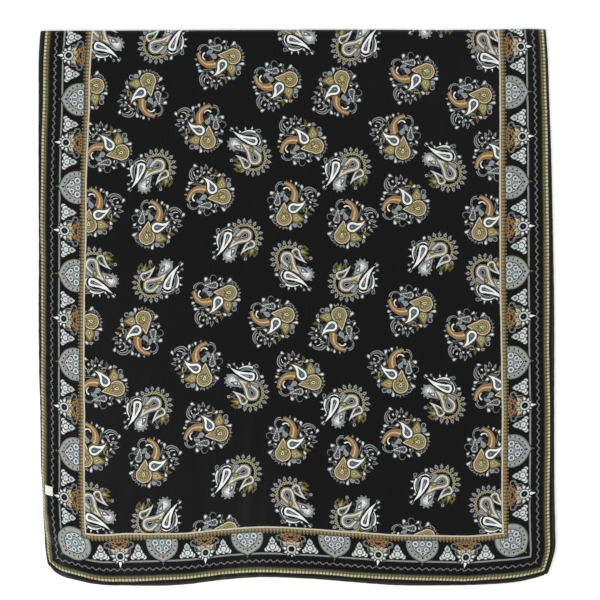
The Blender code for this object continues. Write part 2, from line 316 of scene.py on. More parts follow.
END_BORDER = (
    # Near the lower left corner the first rows' loss is lower, so the printed cream line lies
    # farther in, where it also serves as a painted highlight along the curled hem.
    (0, 69.2, -2.0), (50, 69.6, -1.0), (77, 69.9, 1.4), (118, 72.2, 1.4), (165, 72.0, -1.2),
    (201, 70.8, -0.9), (257, 70.5, -1.0), (340, 70.6, 0.3), (396, 69.3, -0.7), (437, 69.8, -0.4),
    (493, 69.2, -1.6), (549, 69.2, -0.4), (590, 68.0, 1.0), (632, 70.6, 0.0), (711, 70.6, 0.0),
)
MM = 1000.0
END_LINE = 0.0692  # the grid's nominal place for the end border's cream line
END_FADE = 0.10  # beyond it the grid's rows straighten out over this length


def half_v(v):
    """Distance from the nearer end hem."""
    return HALF_LENGTH - np.abs(v - HALF_LENGTH)


def border_at(rows, along):
    """Width and loss of a border, by straight lines through its table's rows."""
    at, width, loss = np.array(rows).T
    return np.interp(along * MM, at, width) / MM, np.interp(along * MM, at, loss)


print("border at the lower left", border_at(LEFT_BORDER, 0.1))

# %% [markdown]
# The cloth's grid has a column along each cream line and a row along the end's, so that a face is
# either border or field and never both.  Its steps are about 4 mm, and 16 mm where it is hidden.

# %% The cloth's grid
SHELL_START = 0.0040  # the cloth's edge lies inside the hem
BORDER_COLUMNS, FIELD_COLUMNS = 17, 140
FRONT_STEP, BACK_STEP = 0.0041, 0.016
ROLL_ROWS = 14


def steps(start, stop, size):
    """Even steps of about this size, without the last value."""
    return np.linspace(start, stop, max(int(round((stop - start) / size)), 1), endpoint=False)


v_lines = np.concatenate([
    steps(SHELL_START, END_LINE, FRONT_STEP),
    steps(END_LINE, HALF_LENGTH - TURN, FRONT_STEP),
    np.linspace(HALF_LENGTH - TURN, HALF_LENGTH + TURN, ROLL_ROWS, endpoint=False),
    steps(HALF_LENGTH + TURN, CUT_LENGTH - END_LINE, BACK_STEP),
    steps(CUT_LENGTH - END_LINE, CUT_LENGTH - SHELL_START, BACK_STEP),
    [CUT_LENGTH - SHELL_START],
])
left_width, _ = border_at(LEFT_BORDER, half_v(v_lines))
right_width, _ = border_at(RIGHT_BORDER, half_v(v_lines))


def between(a, b, count, last=False):
    """Columns from the line a to the line b, each an array of one value a row."""
    share = np.linspace(0, 1, count + 1)[: None if last else -1]
    return a[:, None] + share[None, :] * (b - a)[:, None]


edge = np.full_like(v_lines, SHELL_START)
u_grid = np.concatenate([
    between(edge, left_width, BORDER_COLUMNS),
    between(left_width, CUT_WIDTH - right_width, FIELD_COLUMNS),
    between(CUT_WIDTH - right_width, CUT_WIDTH - edge, BORDER_COLUMNS, last=True),
], axis=1)

# The rows bend with the end border's cream line: fully at the line, not at all at the hem
nominal = half_v(v_lines)[:, None]
shift = border_at(END_BORDER, u_grid)[0] - END_LINE
shift *= np.clip((nominal - SHELL_START) / (END_LINE - SHELL_START), 0, 1)
shift *= 1 - ease((nominal - END_LINE) / END_FADE)
v_grid = v_lines[:, None] + shift * np.where(v_lines < HALF_LENGTH, 1, -1)[:, None]
print("cloth grid", u_grid.shape)

# %% [markdown]
# The field's clusters repeat over a cell of about 270 by 328 mm: eight gold ones and five silver
# ones, turned this way and that, and some of them mirrored.  Every face of the cloth belongs to
# the nearest cluster, and its second UV map holds that cluster's own millimetres, so that one
# design drawn round the origin appears in every place.

# %% The repeat of the field
REPEAT_ACROSS = (270.0, -1.0)
REPEAT_UP = (5.4, 327.5)
CLUSTER_REACH = 46.0  # mm; farther from every cluster the cloth is plain
CELLS_ACROSS, CELLS_UP = range(-2, 4), range(-2, 5)
OVERHANG = 50.0  # how far past the cloth's edge, in mm, a cluster's middle may lie
# design, u and v in mm, turn in degrees, mirrored.  The places and the repeat come from a
# least-squares fit, by a scratch script, to places read off the photograph.
CLUSTERS = (
    ("silver", 167.8, 418.7, 180.0, False),
    ("gold", 247.3, 386.7, 0.0, False),
    ("gold", 326.3, 354.7, 0.0, False),
    ("gold", 139.5, 348.6, -85.0, True),
    ("gold", 220.0, 298.5, -89.0, False),
    ("silver", 287.5, 264.5, -86.0, False),
    ("gold", 89.9, 280.5, -174.0, True),
    ("silver", 151.2, 243.0, 5.0, False),
    ("gold", 232.0, 212.1, 179.0, True),
    ("gold", 76.9, 190.1, 83.0, True),
    ("gold", 158.9, 168.5, 78.0, True),
    ("silver", 271.9, 140.8, 0.0, False),
    ("silver", 77.8, 106.1, 92.0, False),
)
placed = []
for design, u0, v0, turn, mirrored in CLUSTERS:
    for i in CELLS_ACROSS:
        for j in CELLS_UP:
            place_u = u0 + i * REPEAT_ACROSS[0] + j * REPEAT_UP[0]
            place_v = v0 + i * REPEAT_ACROSS[1] + j * REPEAT_UP[1]
            past_side = max(-place_u, place_u - CUT_WIDTH * MM)
            past_end = max(-place_v, place_v - CUT_LENGTH * MM)
            if max(past_side, past_end) < OVERHANG:
                placed.append((design == "gold", place_u, place_v, math.radians(turn), mirrored))
is_gold, cluster_u, cluster_v, cluster_turn, cluster_flip = map(np.array, zip(*placed))

print("clusters on the whole cloth", len(placed))

# %% [markdown]
# The cloth lies a little askew, and its print with it, most of all towards the fold.  Beside both
# hems the print hangs lower than in the middle, near the end hem it is spread across, and half way
# up it leans a little to the left.  A table could place every cluster, but this formula says what
# the cloth does in a few sizes, set to suit the photograph.

# %% Sag, spread and lean of the print
# all in mm, but for SPREAD, which is a share of the distance from its middle
SAG_RIGHT, SAG_RIGHT_FROM, SAG_RIGHT_OVER = 23.0, 390.0, 170.0
SAG_LEFT, SAG_LEFT_FROM, SAG_LEFT_OVER = 9.0, 210.0, 120.0
SPREAD, SPREAD_MIDDLE, SPREAD_UP_TO, SPREAD_FADE = 0.018, 330.0, 150.0, 200.0
LEAN, LEAN_AT, LEAN_REACH = 3.5, 400.0, 110.0
SAG_FADE = 100.0  # past the fold, where the hidden half's print hangs straight again
past_fold = cluster_v - HALF_LENGTH * MM
print_up = np.minimum(cluster_v / (HALF_LENGTH * MM), 1) * (1 - ease(past_fold / SAG_FADE))
sag = SAG_RIGHT * ease((cluster_u - SAG_RIGHT_FROM) / SAG_RIGHT_OVER)
sag += SAG_LEFT * ease((SAG_LEFT_FROM - cluster_u) / SAG_LEFT_OVER)
spread = SPREAD * (cluster_u - SPREAD_MIDDLE) * (1 - ease((cluster_v - SPREAD_UP_TO) / SPREAD_FADE))
cluster_u = cluster_u + spread - LEAN * np.exp(-(((cluster_v - LEAN_AT) / LEAN_REACH) ** 2))
cluster_v = cluster_v - sag * print_up
print("greatest sag", (sag * print_up).max().round(1), "mm")

# %% [markdown]
# The border's motifs don't stand at quite even distances, because the cloth is slack in one stretch
# and taut in another.  So they are counted: the medallions' middles are at the whole numbers from a
# corner and the flowers at the halves.

# %% Places along the border
# count, and place along the edge in mm
END_MOTIFS = (
    (-1, -79.0), (0, 43.3), (0.5, 105.4), (1, 165.2), (1.5, 224.1), (2, 282.6), (2.5, 343.7),
    (3, 404.2), (3.5, 464.5), (4, 526.5), (4.5, 586.3), (5, 650.4), (6, 773.0),
)
LEFT_MOTIFS = (
    (-1, -71.0), (0, 51.6), (0.5, 112.5), (1, 175.1), (1.5, 237.5), (2, 299.9), (2.5, 360.4),
    (3, 422.4), (3.5, 482.8), (4, 543.7), (4.5, 605.2), (5, 665.4), (5.5, 726.1), (12, 1472.4),
    (13, 1595.0),
)
RIGHT_MOTIFS = (
    (-1, -63.0), (0, 59.0), (0.5, 119.5), (1, 181.0), (1.5, 241.3), (2, 302.0), (2.5, 364.1),
    (3, 426.0), (3.5, 488.2), (4, 549.6), (4.5, 612.0), (5, 673.4), (5.5, 735.6), (12, 1465.0),
    (13, 1587.0),
)


def count_at(rows, along):
    """How many motif pitches from the nearer corner the place lies."""
    number, at = np.array(rows).T
    count = np.interp(along * MM, at, number)
    return np.minimum(count, number[-2] - count)


def print_units(distance, width, loss):
    """Print units from the print's edge to a place at this distance from the hem's edge."""
    past = distance - width
    return np.where(past < 0, loss + distance / width * (BORDER - loss), BORDER + past * MM)


def border_print(u, v, on_left):
    """Print units from the side and from the nearer end, and how many pitches along the end and
    along the side the point lies, all for the half of the width that it is in."""
    along, from_side = half_v(v), np.where(on_left, u, CUT_WIDTH - u)
    sides = zip(border_at(LEFT_BORDER, along), border_at(RIGHT_BORDER, along))
    dx = print_units(from_side, *[np.where(on_left, left, right) for left, right in sides])
    dy = print_units(along, *border_at(END_BORDER, u))
    side_count = np.where(on_left, count_at(LEFT_MOTIFS, v), count_at(RIGHT_MOTIFS, v))
    return dx, dy, count_at(END_MOTIFS, u), side_count


print("pitches along a side", round(float(count_at(LEFT_MOTIFS, HALF_LENGTH)), 2))

# %% [markdown]
# ## The cloth
# The shell has an outer wall, which carries the print, an inner wall 0.6 mm behind it and a rim
# between them that the hems cover.  It is built directly as two grids, instead of with a Solidify
# modifier, so that each wall has its own place in the map that the colours are baked through.

# %% Build the shell
SHELL = 0.0006
SHARP_ANGLE = math.radians(50)
PLAIN, GOLD, SILVER, EDGE, WRONG_SIDE = range(5)


def grid_quads(rows, columns, start=0):
    """Corner numbers of a grid's faces, anticlockwise as seen from outside."""
    corner = start + np.arange(rows * columns).reshape(rows, columns)
    return np.stack(
        [corner[:-1, :-1], corner[:-1, 1:], corner[1:, 1:], corner[1:, :-1]], -1
    ).reshape(-1, 4)


def new_piece(name, points, corners, starts):
    """A smooth mesh object from its points, the corner numbers of all its faces in one list, and
    where in that list each face starts."""
    mesh = bpy.data.meshes.new(name)
    mesh.vertices.add(len(points))
    mesh.vertices.foreach_set("co", np.ascontiguousarray(points, np.float32).ravel())
    mesh.loops.add(len(corners))
    mesh.loops.foreach_set("vertex_index", corners.astype(np.int32))
    mesh.polygons.add(len(starts))
    mesh.polygons.foreach_set("loop_start", starts.astype(np.int32))
    mesh.update(calc_edges=True)
    mesh.shade_smooth()
    piece = bpy.data.objects.new(name, mesh)
    bpy.context.scene.collection.objects.link(piece)
    return piece


def mesh_from(name, points, quads):
    """A mesh object of four-cornered faces, which keeps its sharp edges."""
    piece = new_piece(name, points, quads.ravel(), np.arange(0, quads.size, 4))
    piece.data.set_sharp_from_angle(angle=SHARP_ANGLE)
    return piece


def add_map(piece, name, values):
    """A UV map from one pair of values for each corner of each face."""
    layer = piece.data.uv_layers.new(name=name)
    layer.data.foreach_set("uv", np.ascontiguousarray(values, np.float32).ravel())


rows, columns = u_grid.shape
outer = face(u_grid, v_grid).reshape(-1, 3)
inner = outer - outward(u_grid, v_grid).reshape(-1, 3) * SHELL
count = rows * columns
ring = np.concatenate([
    np.arange(columns),
    np.arange(1, rows) * columns + columns - 1,
    (rows - 1) * columns + np.arange(columns - 2, -1, -1),
    np.arange(rows - 2, 0, -1) * columns,
])
after = np.roll(ring, -1)
outer_quads = grid_quads(rows, columns)
inner_quads = grid_quads(rows, columns, count)[:, ::-1]
rim_quads = np.stack([after, ring, ring + count, after + count], -1)
quads = np.concatenate([outer_quads, inner_quads, rim_quads])
cloth = mesh_from("scarf_cloth", np.concatenate([outer, inner]), quads)
print("cloth triangles", 2 * len(quads))

# %% [markdown]
# Each face takes the material of its region: plain ground, a gold or a silver cluster, or border.
# Its corners carry, as UV maps, the places that the materials draw with: on the cloth, in its
# cluster, across the border, and in the border's count.

# %% Give every face its region of the print
corner_u = np.concatenate([u_grid.ravel()] * 2)[quads] * MM
corner_v = np.concatenate([v_grid.ravel()] * 2)[quads] * MM
middle_u, middle_v = corner_u.mean(axis=1), corner_v.mean(axis=1)
in_left_half = (middle_u < CUT_WIDTH * MM / 2)[:, None]
dx, dy, end_phase, side_phase = border_print(corner_u / MM, corner_v / MM, in_left_half)

gap = np.hypot(middle_u[:, None] - cluster_u, middle_v[:, None] - cluster_v)
nearest = gap.argmin(axis=1)
region = np.where(is_gold[nearest], GOLD, SILVER)
region[gap.min(axis=1) > CLUSTER_REACH] = PLAIN
region[np.minimum(dx, dy).mean(axis=1) < BORDER] = EDGE
region[len(outer_quads):] = WRONG_SIDE
cloth.data.polygons.foreach_set("material_index", region.astype(np.int32))

turn = -cluster_turn[nearest][:, None]
away_u, away_v = corner_u - cluster_u[nearest][:, None], corner_v - cluster_v[nearest][:, None]
mirror = np.where(cluster_flip[nearest], -1, 1)[:, None]
own_x = (away_u * np.cos(turn) - away_v * np.sin(turn)) * mirror
own_y = away_u * np.sin(turn) + away_v * np.cos(turn)
add_map(cloth, "cloth", np.stack([corner_u, corner_v], -1))
add_map(cloth, "motif", np.stack([own_x, own_y], -1))
add_map(cloth, "border", np.stack([dx, dy], -1))
add_map(cloth, "repeat", np.stack([end_phase, side_phase], -1))

# The map for baking: the two walls side by side, and the rim in a narrow strip beside them
BAKE_HEIGHT = CUT_LENGTH * MM
INNER_WALL_AT, RIM_AT, RIM_WIDTH = 0.48, 0.965, 0.02
bake_x, bake_y = corner_u / BAKE_HEIGHT, corner_v / BAKE_HEIGHT
bake_x[len(outer_quads):] += INNER_WALL_AT
rim = slice(len(outer_quads) + len(inner_quads), None)
rim_step = np.linspace(0, 1, len(ring) + 1)
bake_x[rim] = RIM_AT + RIM_WIDTH * np.array([0, 0, 1, 1])
bake_y[rim] = np.stack([rim_step[1:], rim_step[:-1], rim_step[:-1], rim_step[1:]], -1)
add_map(cloth, "OFBake", np.stack([bake_x, bake_y], -1))
cloth.data.uv_layers["cloth"].active_render = True
print("faces in each region", np.bincount(region))

# %% [markdown]
# ## Rolled hems
# Each hem is the cut edge rolled over twice to the back and sewn down.  It is a flattened tube
# carried along the edge: round the section goes one angle, along the edge one length.  Slanting
# creases and a little unevenness in its width are what make it look rolled by hand.

# %% Hem surfaces
HEM_RINGS = 16
HEM_STEP = 0.0016
HEM_END = 0.0014  # a hem is rounded off over this length at its two ends
SECTION_POWER = 0.75  # under 1 flattens the section's top and bottom
HEM_NARROWING, HEM_LUMP = 0.035, 0.10  # how uneven its width and its height are, as shares
HEM_TWIST = 0.00007  # height of the slanting creases

EDGES = {
    "left": lambda s, inset: (inset, s),
    "right": lambda s, inset: (CUT_WIDTH - inset, s),
    "front_end": lambda s, inset: (s, inset),
    "back_end": lambda s, inset: (s, CUT_LENGTH - inset),
}


def rounded(x):
    """x drawn towards 1 or -1, which squares a circle's sine or cosine a little."""
    return np.sign(x) * np.abs(x) ** SECTION_POWER


def hem_point(edge_name, s, angle, grow=0.0, shrink=1.0):
    """Points of a hem's surface. The angle is 0 at the outer edge, a quarter turn on the crown
    and a half turn at the inner edge; grow moves a point out from the section, in metres."""
    lump = uneven_waves(s, 0.0031, 2.1, 0.019, 0.0127, 0.6)
    twist = np.sin(s / 0.00072 - 1.3 * angle + 2.0 * np.sin(s / 0.011))
    crown = np.maximum(np.sin(angle), 0.0)
    half_width = HEM_WIDTH / 2 * (1 - HEM_NARROWING * (1 + lump)) * shrink + grow
    half_depth = (HEM_DEPTH + HEM_PROUD) / 2 * (1 + HEM_LUMP * crown * lump) * shrink + grow
    half_depth = half_depth + HEM_TWIST * crown * twist * shrink
    inset = HEM_WIDTH / 2 - half_width * rounded(np.cos(angle))
    depth = (HEM_DEPTH - HEM_PROUD) / 2 - half_depth * rounded(np.sin(angle))
    u, v = EDGES[edge_name](s, inset)
    point = face(u, v) - outward(u, v) * depth[..., None]
    point[..., 2] = np.maximum(point[..., 2], 0.0)
    return point


def tube_quads(number):
    """The faces between a tube's rings, from its points' numbers in rows, one row a ring."""
    following = np.roll(number, -1, axis=1)
    return np.stack([number[:-1], following[:-1], following[1:], number[1:]], -1).reshape(-1, 4)


def make_hem(edge_name, start, stop):
    """A hem from start to stop along its edge: a tube whose first and last rings close up."""
    s = np.append(np.arange(start, stop, HEM_STEP), stop)[:, None]
    angle = np.linspace(0, 2 * math.pi, HEM_RINGS, endpoint=False)[None, :]
    to_end = np.minimum(s - start, stop - s)
    shrink = np.sqrt(np.clip(1 - (1 - np.clip(to_end / HEM_END, 0, 1)) ** 2, 0.02, 1))
    s, angle = np.broadcast_arrays(s, angle)
    points = hem_point(edge_name, s, angle, shrink=shrink)
    number = np.arange(s.size).reshape(s.shape)
    caps = []
    for row, order in ((0, slice(None, None, -1)), (-1, slice(None))):
        loop = number[row]
        for k in range(HEM_RINGS // 2 - 1):
            caps.append((loop[k], loop[k + 1], loop[-2 - k], loop[-1 - k])[order])
    quads = np.concatenate([tube_quads(number), np.array(caps)])
    if edge_name in ("right", "front_end"):
        quads = quads[:, ::-1]
    piece = mesh_from(f"hem_{edge_name}", points.reshape(-1, 3), quads)
    add_map(piece, "hem", np.stack([s.ravel(), angle.ravel()], -1)[quads] * (MM, 1.0))
    # the print runs on over the roll: from the outer edge it goes in on top, and back below
    inset = HEM_WIDTH / 2 * (1 - np.cos(angle)) * np.where(np.sin(angle) >= -1e-9, 1, -1)
    u, v = EDGES[edge_name](s, inset)
    dx, dy, _, _ = border_print(u, v, u < CUT_WIDTH / 2)
    add_map(piece, "border", np.stack([dx.ravel(), dy.ravel()], -1)[quads])
    print(piece.name, "triangles", 2 * len(quads))
    return piece


EDGE_LENGTHS = {
    "left": CUT_LENGTH, "right": CUT_LENGTH, "front_end": CUT_WIDTH, "back_end": CUT_WIDTH,
}
END_START = HEM_WIDTH - 0.0004  # the end hems begin just inside the side hems
hems = {}
for name, length in EDGE_LENGTHS.items():
    start = END_START if length == CUT_WIDTH else 0.0
    hems[name] = make_hem(name, start, length - start)

# %% [markdown]
# A row of lockstitches holds the hem down close to its inner edge.  Every stitch is the same
# small bowed tube of a few faces, so all of them are one mesh made from one array of points.

# %% Stitches
STITCH_PITCH, STITCH_LENGTH = 0.0026, 0.0021
THREAD_RADIUS = 0.00017
STITCH_ANGLE = math.radians(132)  # where the row lies on the hem's section
STITCH_RINGS, THREAD_SIDES = 5, 5
STITCH_MARGIN = 0.006  # from the hem's ends
STEP_OUT = 0.0005  # a small step away from the cloth, to find a stitch's upper side


def thread_rings(middle, out, radius):
    """Rings of points, shaped (stitch, ring, side, 3), round the middle lines of some stitches,
    given the direction away from the cloth."""
    out, ahead = unit(out), unit(np.gradient(middle, axis=1))
    aside = np.cross(ahead, out)
    angle = np.linspace(0, 2 * math.pi, THREAD_SIDES, endpoint=False)[:, None]
    around = np.cos(angle) * aside[:, :, None, :] + np.sin(angle) * out[:, :, None, :]
    return middle[:, :, None, :] + radius * around


def stitch_row(edge_name, start, stop):
    """Points of a row of stitches: along each one the thread comes up out of the hem, bows over
    it and goes down again, as a half sine."""
    t = np.linspace(-1, 1, STITCH_RINGS)
    s = np.arange(start, stop, STITCH_PITCH)[:, None] + t * STITCH_LENGTH / 2
    bow = THREAD_RADIUS * (1.3 * np.cos(t * math.pi / 2) - 0.75)
    angle = np.full_like(s, STITCH_ANGLE)
    middle = hem_point(edge_name, s, angle, grow=bow)
    out = middle - hem_point(edge_name, s, angle, grow=bow - STEP_OUT)
    radius = THREAD_RADIUS * (0.55 + 0.45 * np.cos(t * math.pi / 2))
    return thread_rings(middle, out, radius[None, :, None, None])


def tubes(name, points):
    """One mesh of many short closed tubes, from points shaped (tube, ring, side, 3)."""
    tube_count, ring_count, side_count, _ = points.shape
    number = np.arange(ring_count * side_count).reshape(ring_count, side_count)
    faces = [*tube_quads(number), number[0][::-1], number[-1]]
    corners = np.concatenate(faces) + np.arange(tube_count)[:, None] * number.size
    sizes = np.tile([len(corner_numbers) for corner_numbers in faces], tube_count)
    starts = np.append(0, np.cumsum(sizes)[:-1])
    print(name, tube_count, "stitches")
    return new_piece(name, points.reshape(-1, 3), corners.ravel(), starts)


rows_of_stitches = [
    stitch_row(name, STITCH_MARGIN, length - STITCH_MARGIN) for name, length in EDGE_LENGTHS.items()
]
stitches = tubes("hem_stitches", np.concatenate(rows_of_stitches))

# %% [markdown]
# ## The label
# A small blank loop of white tape is caught in the seam of the left hem.  It is one strip,
# carried along a path that runs out over the face, turns back round a tight fold and returns.

# %% Label
LABEL_WIDTH, LABEL_HEIGHT = 0.0105, 0.0125
LABEL_FROM_EDGE, LABEL_DOWN = 0.0070, 0.6470  # to its near side, and down to its middle
LABEL_TILT = math.radians(-19)  # of its upper and lower edges
LABEL_LEAN = math.radians(3)  # of its sides
TAPE = 0.00016
LOOP_RADIUS = 0.00022
LABEL_LIFT = 0.0003
LABEL_BULGE = 0.00012  # of its upper layer
LABEL_STITCHES = 5
LABEL_STITCH = 0.0016  # length of one stitch
LABEL_SEAM = 0.0012  # from the near side to the row of stitches

# The cloth is pulled askew at this corner, so the label's own square axes are turned into u and v
# with the inverse of the cloth's slopes at its middle.
label_u, label_v = LABEL_FROM_EDGE + LABEL_WIDTH / 2, HALF_LENGTH - LABEL_DOWN
LABEL_PROBE = 0.003
steps_u, steps_v = LABEL_PROBE * np.array([(1, -1, 0, 0), (0, 0, 1, -1)])
nearby = face(label_u + steps_u, label_v + steps_v)[:, :2]
slopes = np.stack([nearby[0] - nearby[1], nearby[2] - nearby[3]], axis=1) / (2 * LABEL_PROBE)
to_cloth = np.linalg.inv(slopes)


def label_point(out, below, height):
    """Points over the face beside the left hem: out from the hem, below its top, and the height
    over the face."""
    dx, dy = out - LABEL_WIDTH / 2, LABEL_HEIGHT / 2 - below
    x = dx * math.cos(LABEL_TILT) - dy * math.sin(LABEL_LEAN)
    y = dx * math.sin(LABEL_TILT) + dy * math.cos(LABEL_LEAN)
    u = label_u + to_cloth[0, 0] * x + to_cloth[0, 1] * y
    v = label_v + to_cloth[1, 0] * x + to_cloth[1, 1] * y
    return face(u, v) + outward(u, v) * np.broadcast_to(height, u.shape)[..., None]


def make_label():
    """The strip of tape, as a grid along its path and across its width."""
    straight = np.linspace(0, LABEL_WIDTH - LOOP_RADIUS, 14)
    bend = np.linspace(-math.pi / 2, math.pi / 2, 9)
    out = np.concatenate([
        straight,
        LABEL_WIDTH - LOOP_RADIUS + LOOP_RADIUS * np.cos(bend[1:-1]),
        straight[::-1],
    ])
    height = np.concatenate([
        np.zeros_like(straight),
        LOOP_RADIUS + LOOP_RADIUS * np.sin(bend[1:-1]),
        2 * LOOP_RADIUS + LABEL_BULGE * np.sin(straight[::-1] / LABEL_WIDTH * math.pi),
    ])
    below = np.linspace(0, LABEL_HEIGHT, 16)
    out, below = np.meshgrid(out, below, indexing="ij")
    points = label_point(out, below, height[:, None] + LABEL_LIFT).reshape(-1, 3)
    quads = grid_quads(*out.shape)[:, ::-1]
    piece = mesh_from("side_label_tape", points, quads)
    add_map(piece, "tape", np.stack([out.ravel(), below.ravel()], -1)[quads] * MM)
    wall = piece.modifiers.new("Tape", "SOLIDIFY")
    wall.thickness = TAPE
    wall.offset = 0.0
    return piece


def label_stitches():
    """A short row of stitches down the label's near side, through both of its layers."""
    t = np.linspace(-1, 1, STITCH_RINGS)
    below = np.linspace(0.12, 0.88, LABEL_STITCHES)[:, None] * LABEL_HEIGHT + t * LABEL_STITCH / 2
    top = 2 * LOOP_RADIUS + LABEL_LIFT + TAPE / 2
    bow = top + THREAD_RADIUS * (1.2 * np.cos(t * math.pi / 2) - 0.7)
    out = np.full_like(below, LABEL_SEAM)
    middle = label_point(out, below, bow)
    above = label_point(out, below, bow + STEP_OUT) - middle
    return tubes("label_stitches", thread_rings(middle, above, THREAD_RADIUS))


label, label_thread = make_label(), label_stitches()
print(label.name, "folded", LABEL_WIDTH, "x", LABEL_HEIGHT)

# %% [markdown]
# ## Shader helpers
# A print made of nodes is many small sums, so a few helpers keep the trees readable.  One adds any
# node with its inputs named, and the rest are the sums and the nodes that are used most.  They find
# the tree to work in from the sockets that they are given.


# %% Node helpers
def feed(node, inputs):
    """Gives a node its inputs, by name or number: a socket is linked and a value is set."""
    for name, value in inputs.items():
        if isinstance(value, bpy.types.NodeSocket):
            node.id_data.links.new(value, node.inputs[name])
        else:
            node.inputs[name].default_value = value


def put(kind, inputs, tree=None, **settings):
    """Adds a node, to the tree that its first linked input is in if none is given."""
    linked = (value for value in inputs.values() if isinstance(value, bpy.types.NodeSocket))
    tree = tree or next(linked).id_data
    node = tree.nodes.new("ShaderNode" + kind)
    for name, value in settings.items():
        setattr(node, name, value)
    feed(node, inputs)
    return node


def maths(operation):
    """A function that adds one Math node for its values and gives the node's result."""
    return lambda *values: put("Math", dict(enumerate(values)), operation=operation).outputs[0]


add, subtract, multiply, divide = map(maths, ("ADD", "SUBTRACT", "MULTIPLY", "DIVIDE"))
multiply_add, absolute, root, whole = map(maths, ("MULTIPLY_ADD", "ABSOLUTE", "SQRT", "ROUND"))
least, greatest = map(maths, ("MINIMUM", "MAXIMUM"))
more_than, less_than = map(maths, ("GREATER_THAN", "LESS_THAN"))
sine, cosine, arctangent, sign = map(maths, ("SINE", "COSINE", "ARCTAN2", "SIGN"))
remainder, to_and_fro = map(maths, ("FLOORED_MODULO", "PINGPONG"))


def vector(operation, *values):
    """One Vector Math node's result: a number for a dot product or a length, else a vector."""
    node = put("VectorMath", dict(enumerate(values)), operation=operation)
    return node.outputs["Value" if operation in ("DOT_PRODUCT", "LENGTH") else "Vector"]


def scaled(value, by):
    """A vector or a colour times a number."""
    return put("VectorMath", {0: value, "Scale": by}, operation="SCALE").outputs[0]


def blend(share, under, over):
    """The colour "over" laid on "under" by a share from 0 to 1."""
    return put("Mix", {0: share, 6: under, 7: over}, data_type="RGBA").outputs[2]


def choose(share, first, second):
    """The first number where the share is 0, and the second where it is 1."""
    return put("Mix", {0: share, 2: first, 3: second}, data_type="FLOAT").outputs[0]


def within(value, middle, reach):
    """1 where the value is nearer than this to the middle, else 0."""
    return less_than(absolute(subtract(value, middle)), reach)


def distance(x, y):
    return root(multiply_add(x, x, multiply(y, y)))


def waves(value, pitch):
    """A sine wave over the value, from -1 to 1."""
    return sine(multiply(value, 2 * math.pi / pitch))


def noise(place, scale, detail):
    """Soft noise, as a number and as a colour."""
    return put("TexNoise", {"Vector": place, "Scale": scale, "Detail": detail}).outputs


def axes_of(place):
    return put("SeparateXYZ", {0: place}).outputs


def place_at(x, y):
    return put("CombineXYZ", {0: x, 1: y}).outputs[0]


SOCKETS = {1: "NodeSocketFloat", 3: "NodeSocketVector", 4: "NodeSocketColor"}  # by their length


def new_group(name, takes, gives):
    """An empty node group. takes is {input: its value when nothing is linked}, and gives is
    {output: length}, which is 1 for a number, 3 for a place and 4 for a colour."""
    tree = bpy.data.node_groups.new(name, "ShaderNodeTree")
    for socket_name, value in takes.items():
        kind = SOCKETS[np.size(value)]
        socket = tree.interface.new_socket(socket_name, in_out="INPUT", socket_type=kind)
        socket.default_value = value
    for socket_name, length in gives.items():
        tree.interface.new_socket(socket_name, in_out="OUTPUT", socket_type=SOCKETS[length])
    return tree, tree.nodes.new("NodeGroupInput").outputs, tree.nodes.new("NodeGroupOutput")


def ink(red, green, blue):
    """A linear colour from the 0 to 255 values of one seen on a screen."""
    seen = np.array([red, green, blue]) / 255
    linear = np.where(seen < 0.04045, seen / 12.92, ((seen + 0.055) / 1.055) ** 2.4)
    return (*[float(value) for value in linear], 1.0)


BLACK = ink(12, 12, 13)
print("black ground", [round(value, 4) for value in BLACK])

# %% [markdown]
# ## Two shapes that draw the whole print
# Almost everything in a paisley print is a drop or a curl.  Both groups give a ring number: 0 in
# the middle of the shape, 1 on its outline and more outside, so that a colour ramp over the ring
# number paints all the outlines, borders and cores of a motif at once.


# %% Drop and curl groups
FRAME = {"Place": (0, 0, 0), "Centre": (0, 0, 0), "Way": (1, 0, 0)}
SHAPE_GIVES = {"Ring": 1, "Around": 1, "Along": 1}


def own_frame(take):
    """The place as seen from the centre: how far it is along Way, and how far to the left."""
    away = vector("SUBTRACT", take["Place"], take["Centre"])
    left = vector("CROSS_PRODUCT", (0, 0, 1), take["Way"])
    return vector("DOT_PRODUCT", away, take["Way"]), vector("DOT_PRODUCT", away, left)


def make_drop():
    """The paisley drop.  In its own frame the head is a circle of radius r round the origin, and
    two straight flanks run from it to a tip at distance h along x.  Adding bend * x * x to y
    first curls the tip over.  The ring number is the distance from that outline, over r, plus 1."""
    inputs = {**FRAME, "Radius": 5.0, "Length": 15.0, "Bend": 0.0}
    tree, take, out = new_group("Paisley drop", inputs, SHAPE_GIVES)
    radius, length = take["Radius"], take["Length"]
    x, y = own_frame(take)
    ahead = greatest(x, 0.0)
    y = subtract(y, multiply(multiply(ahead, ahead), take["Bend"]))
    wide = absolute(y)
    slope = least(divide(radius, length), 1.0)
    level = root(subtract(1.0, multiply(slope, slope)))
    flank = multiply_add(wide, level, multiply(x, slope))
    in_tail = more_than(subtract(multiply(x, level), multiply(wide, slope)), 0.0)
    reach = choose(in_tail, distance(x, y), flank)
    ring, along = divide(reach, radius), divide(x, length)
    feed(out, {"Ring": ring, "Around": arctangent(y, x), "Along": along})
    return tree


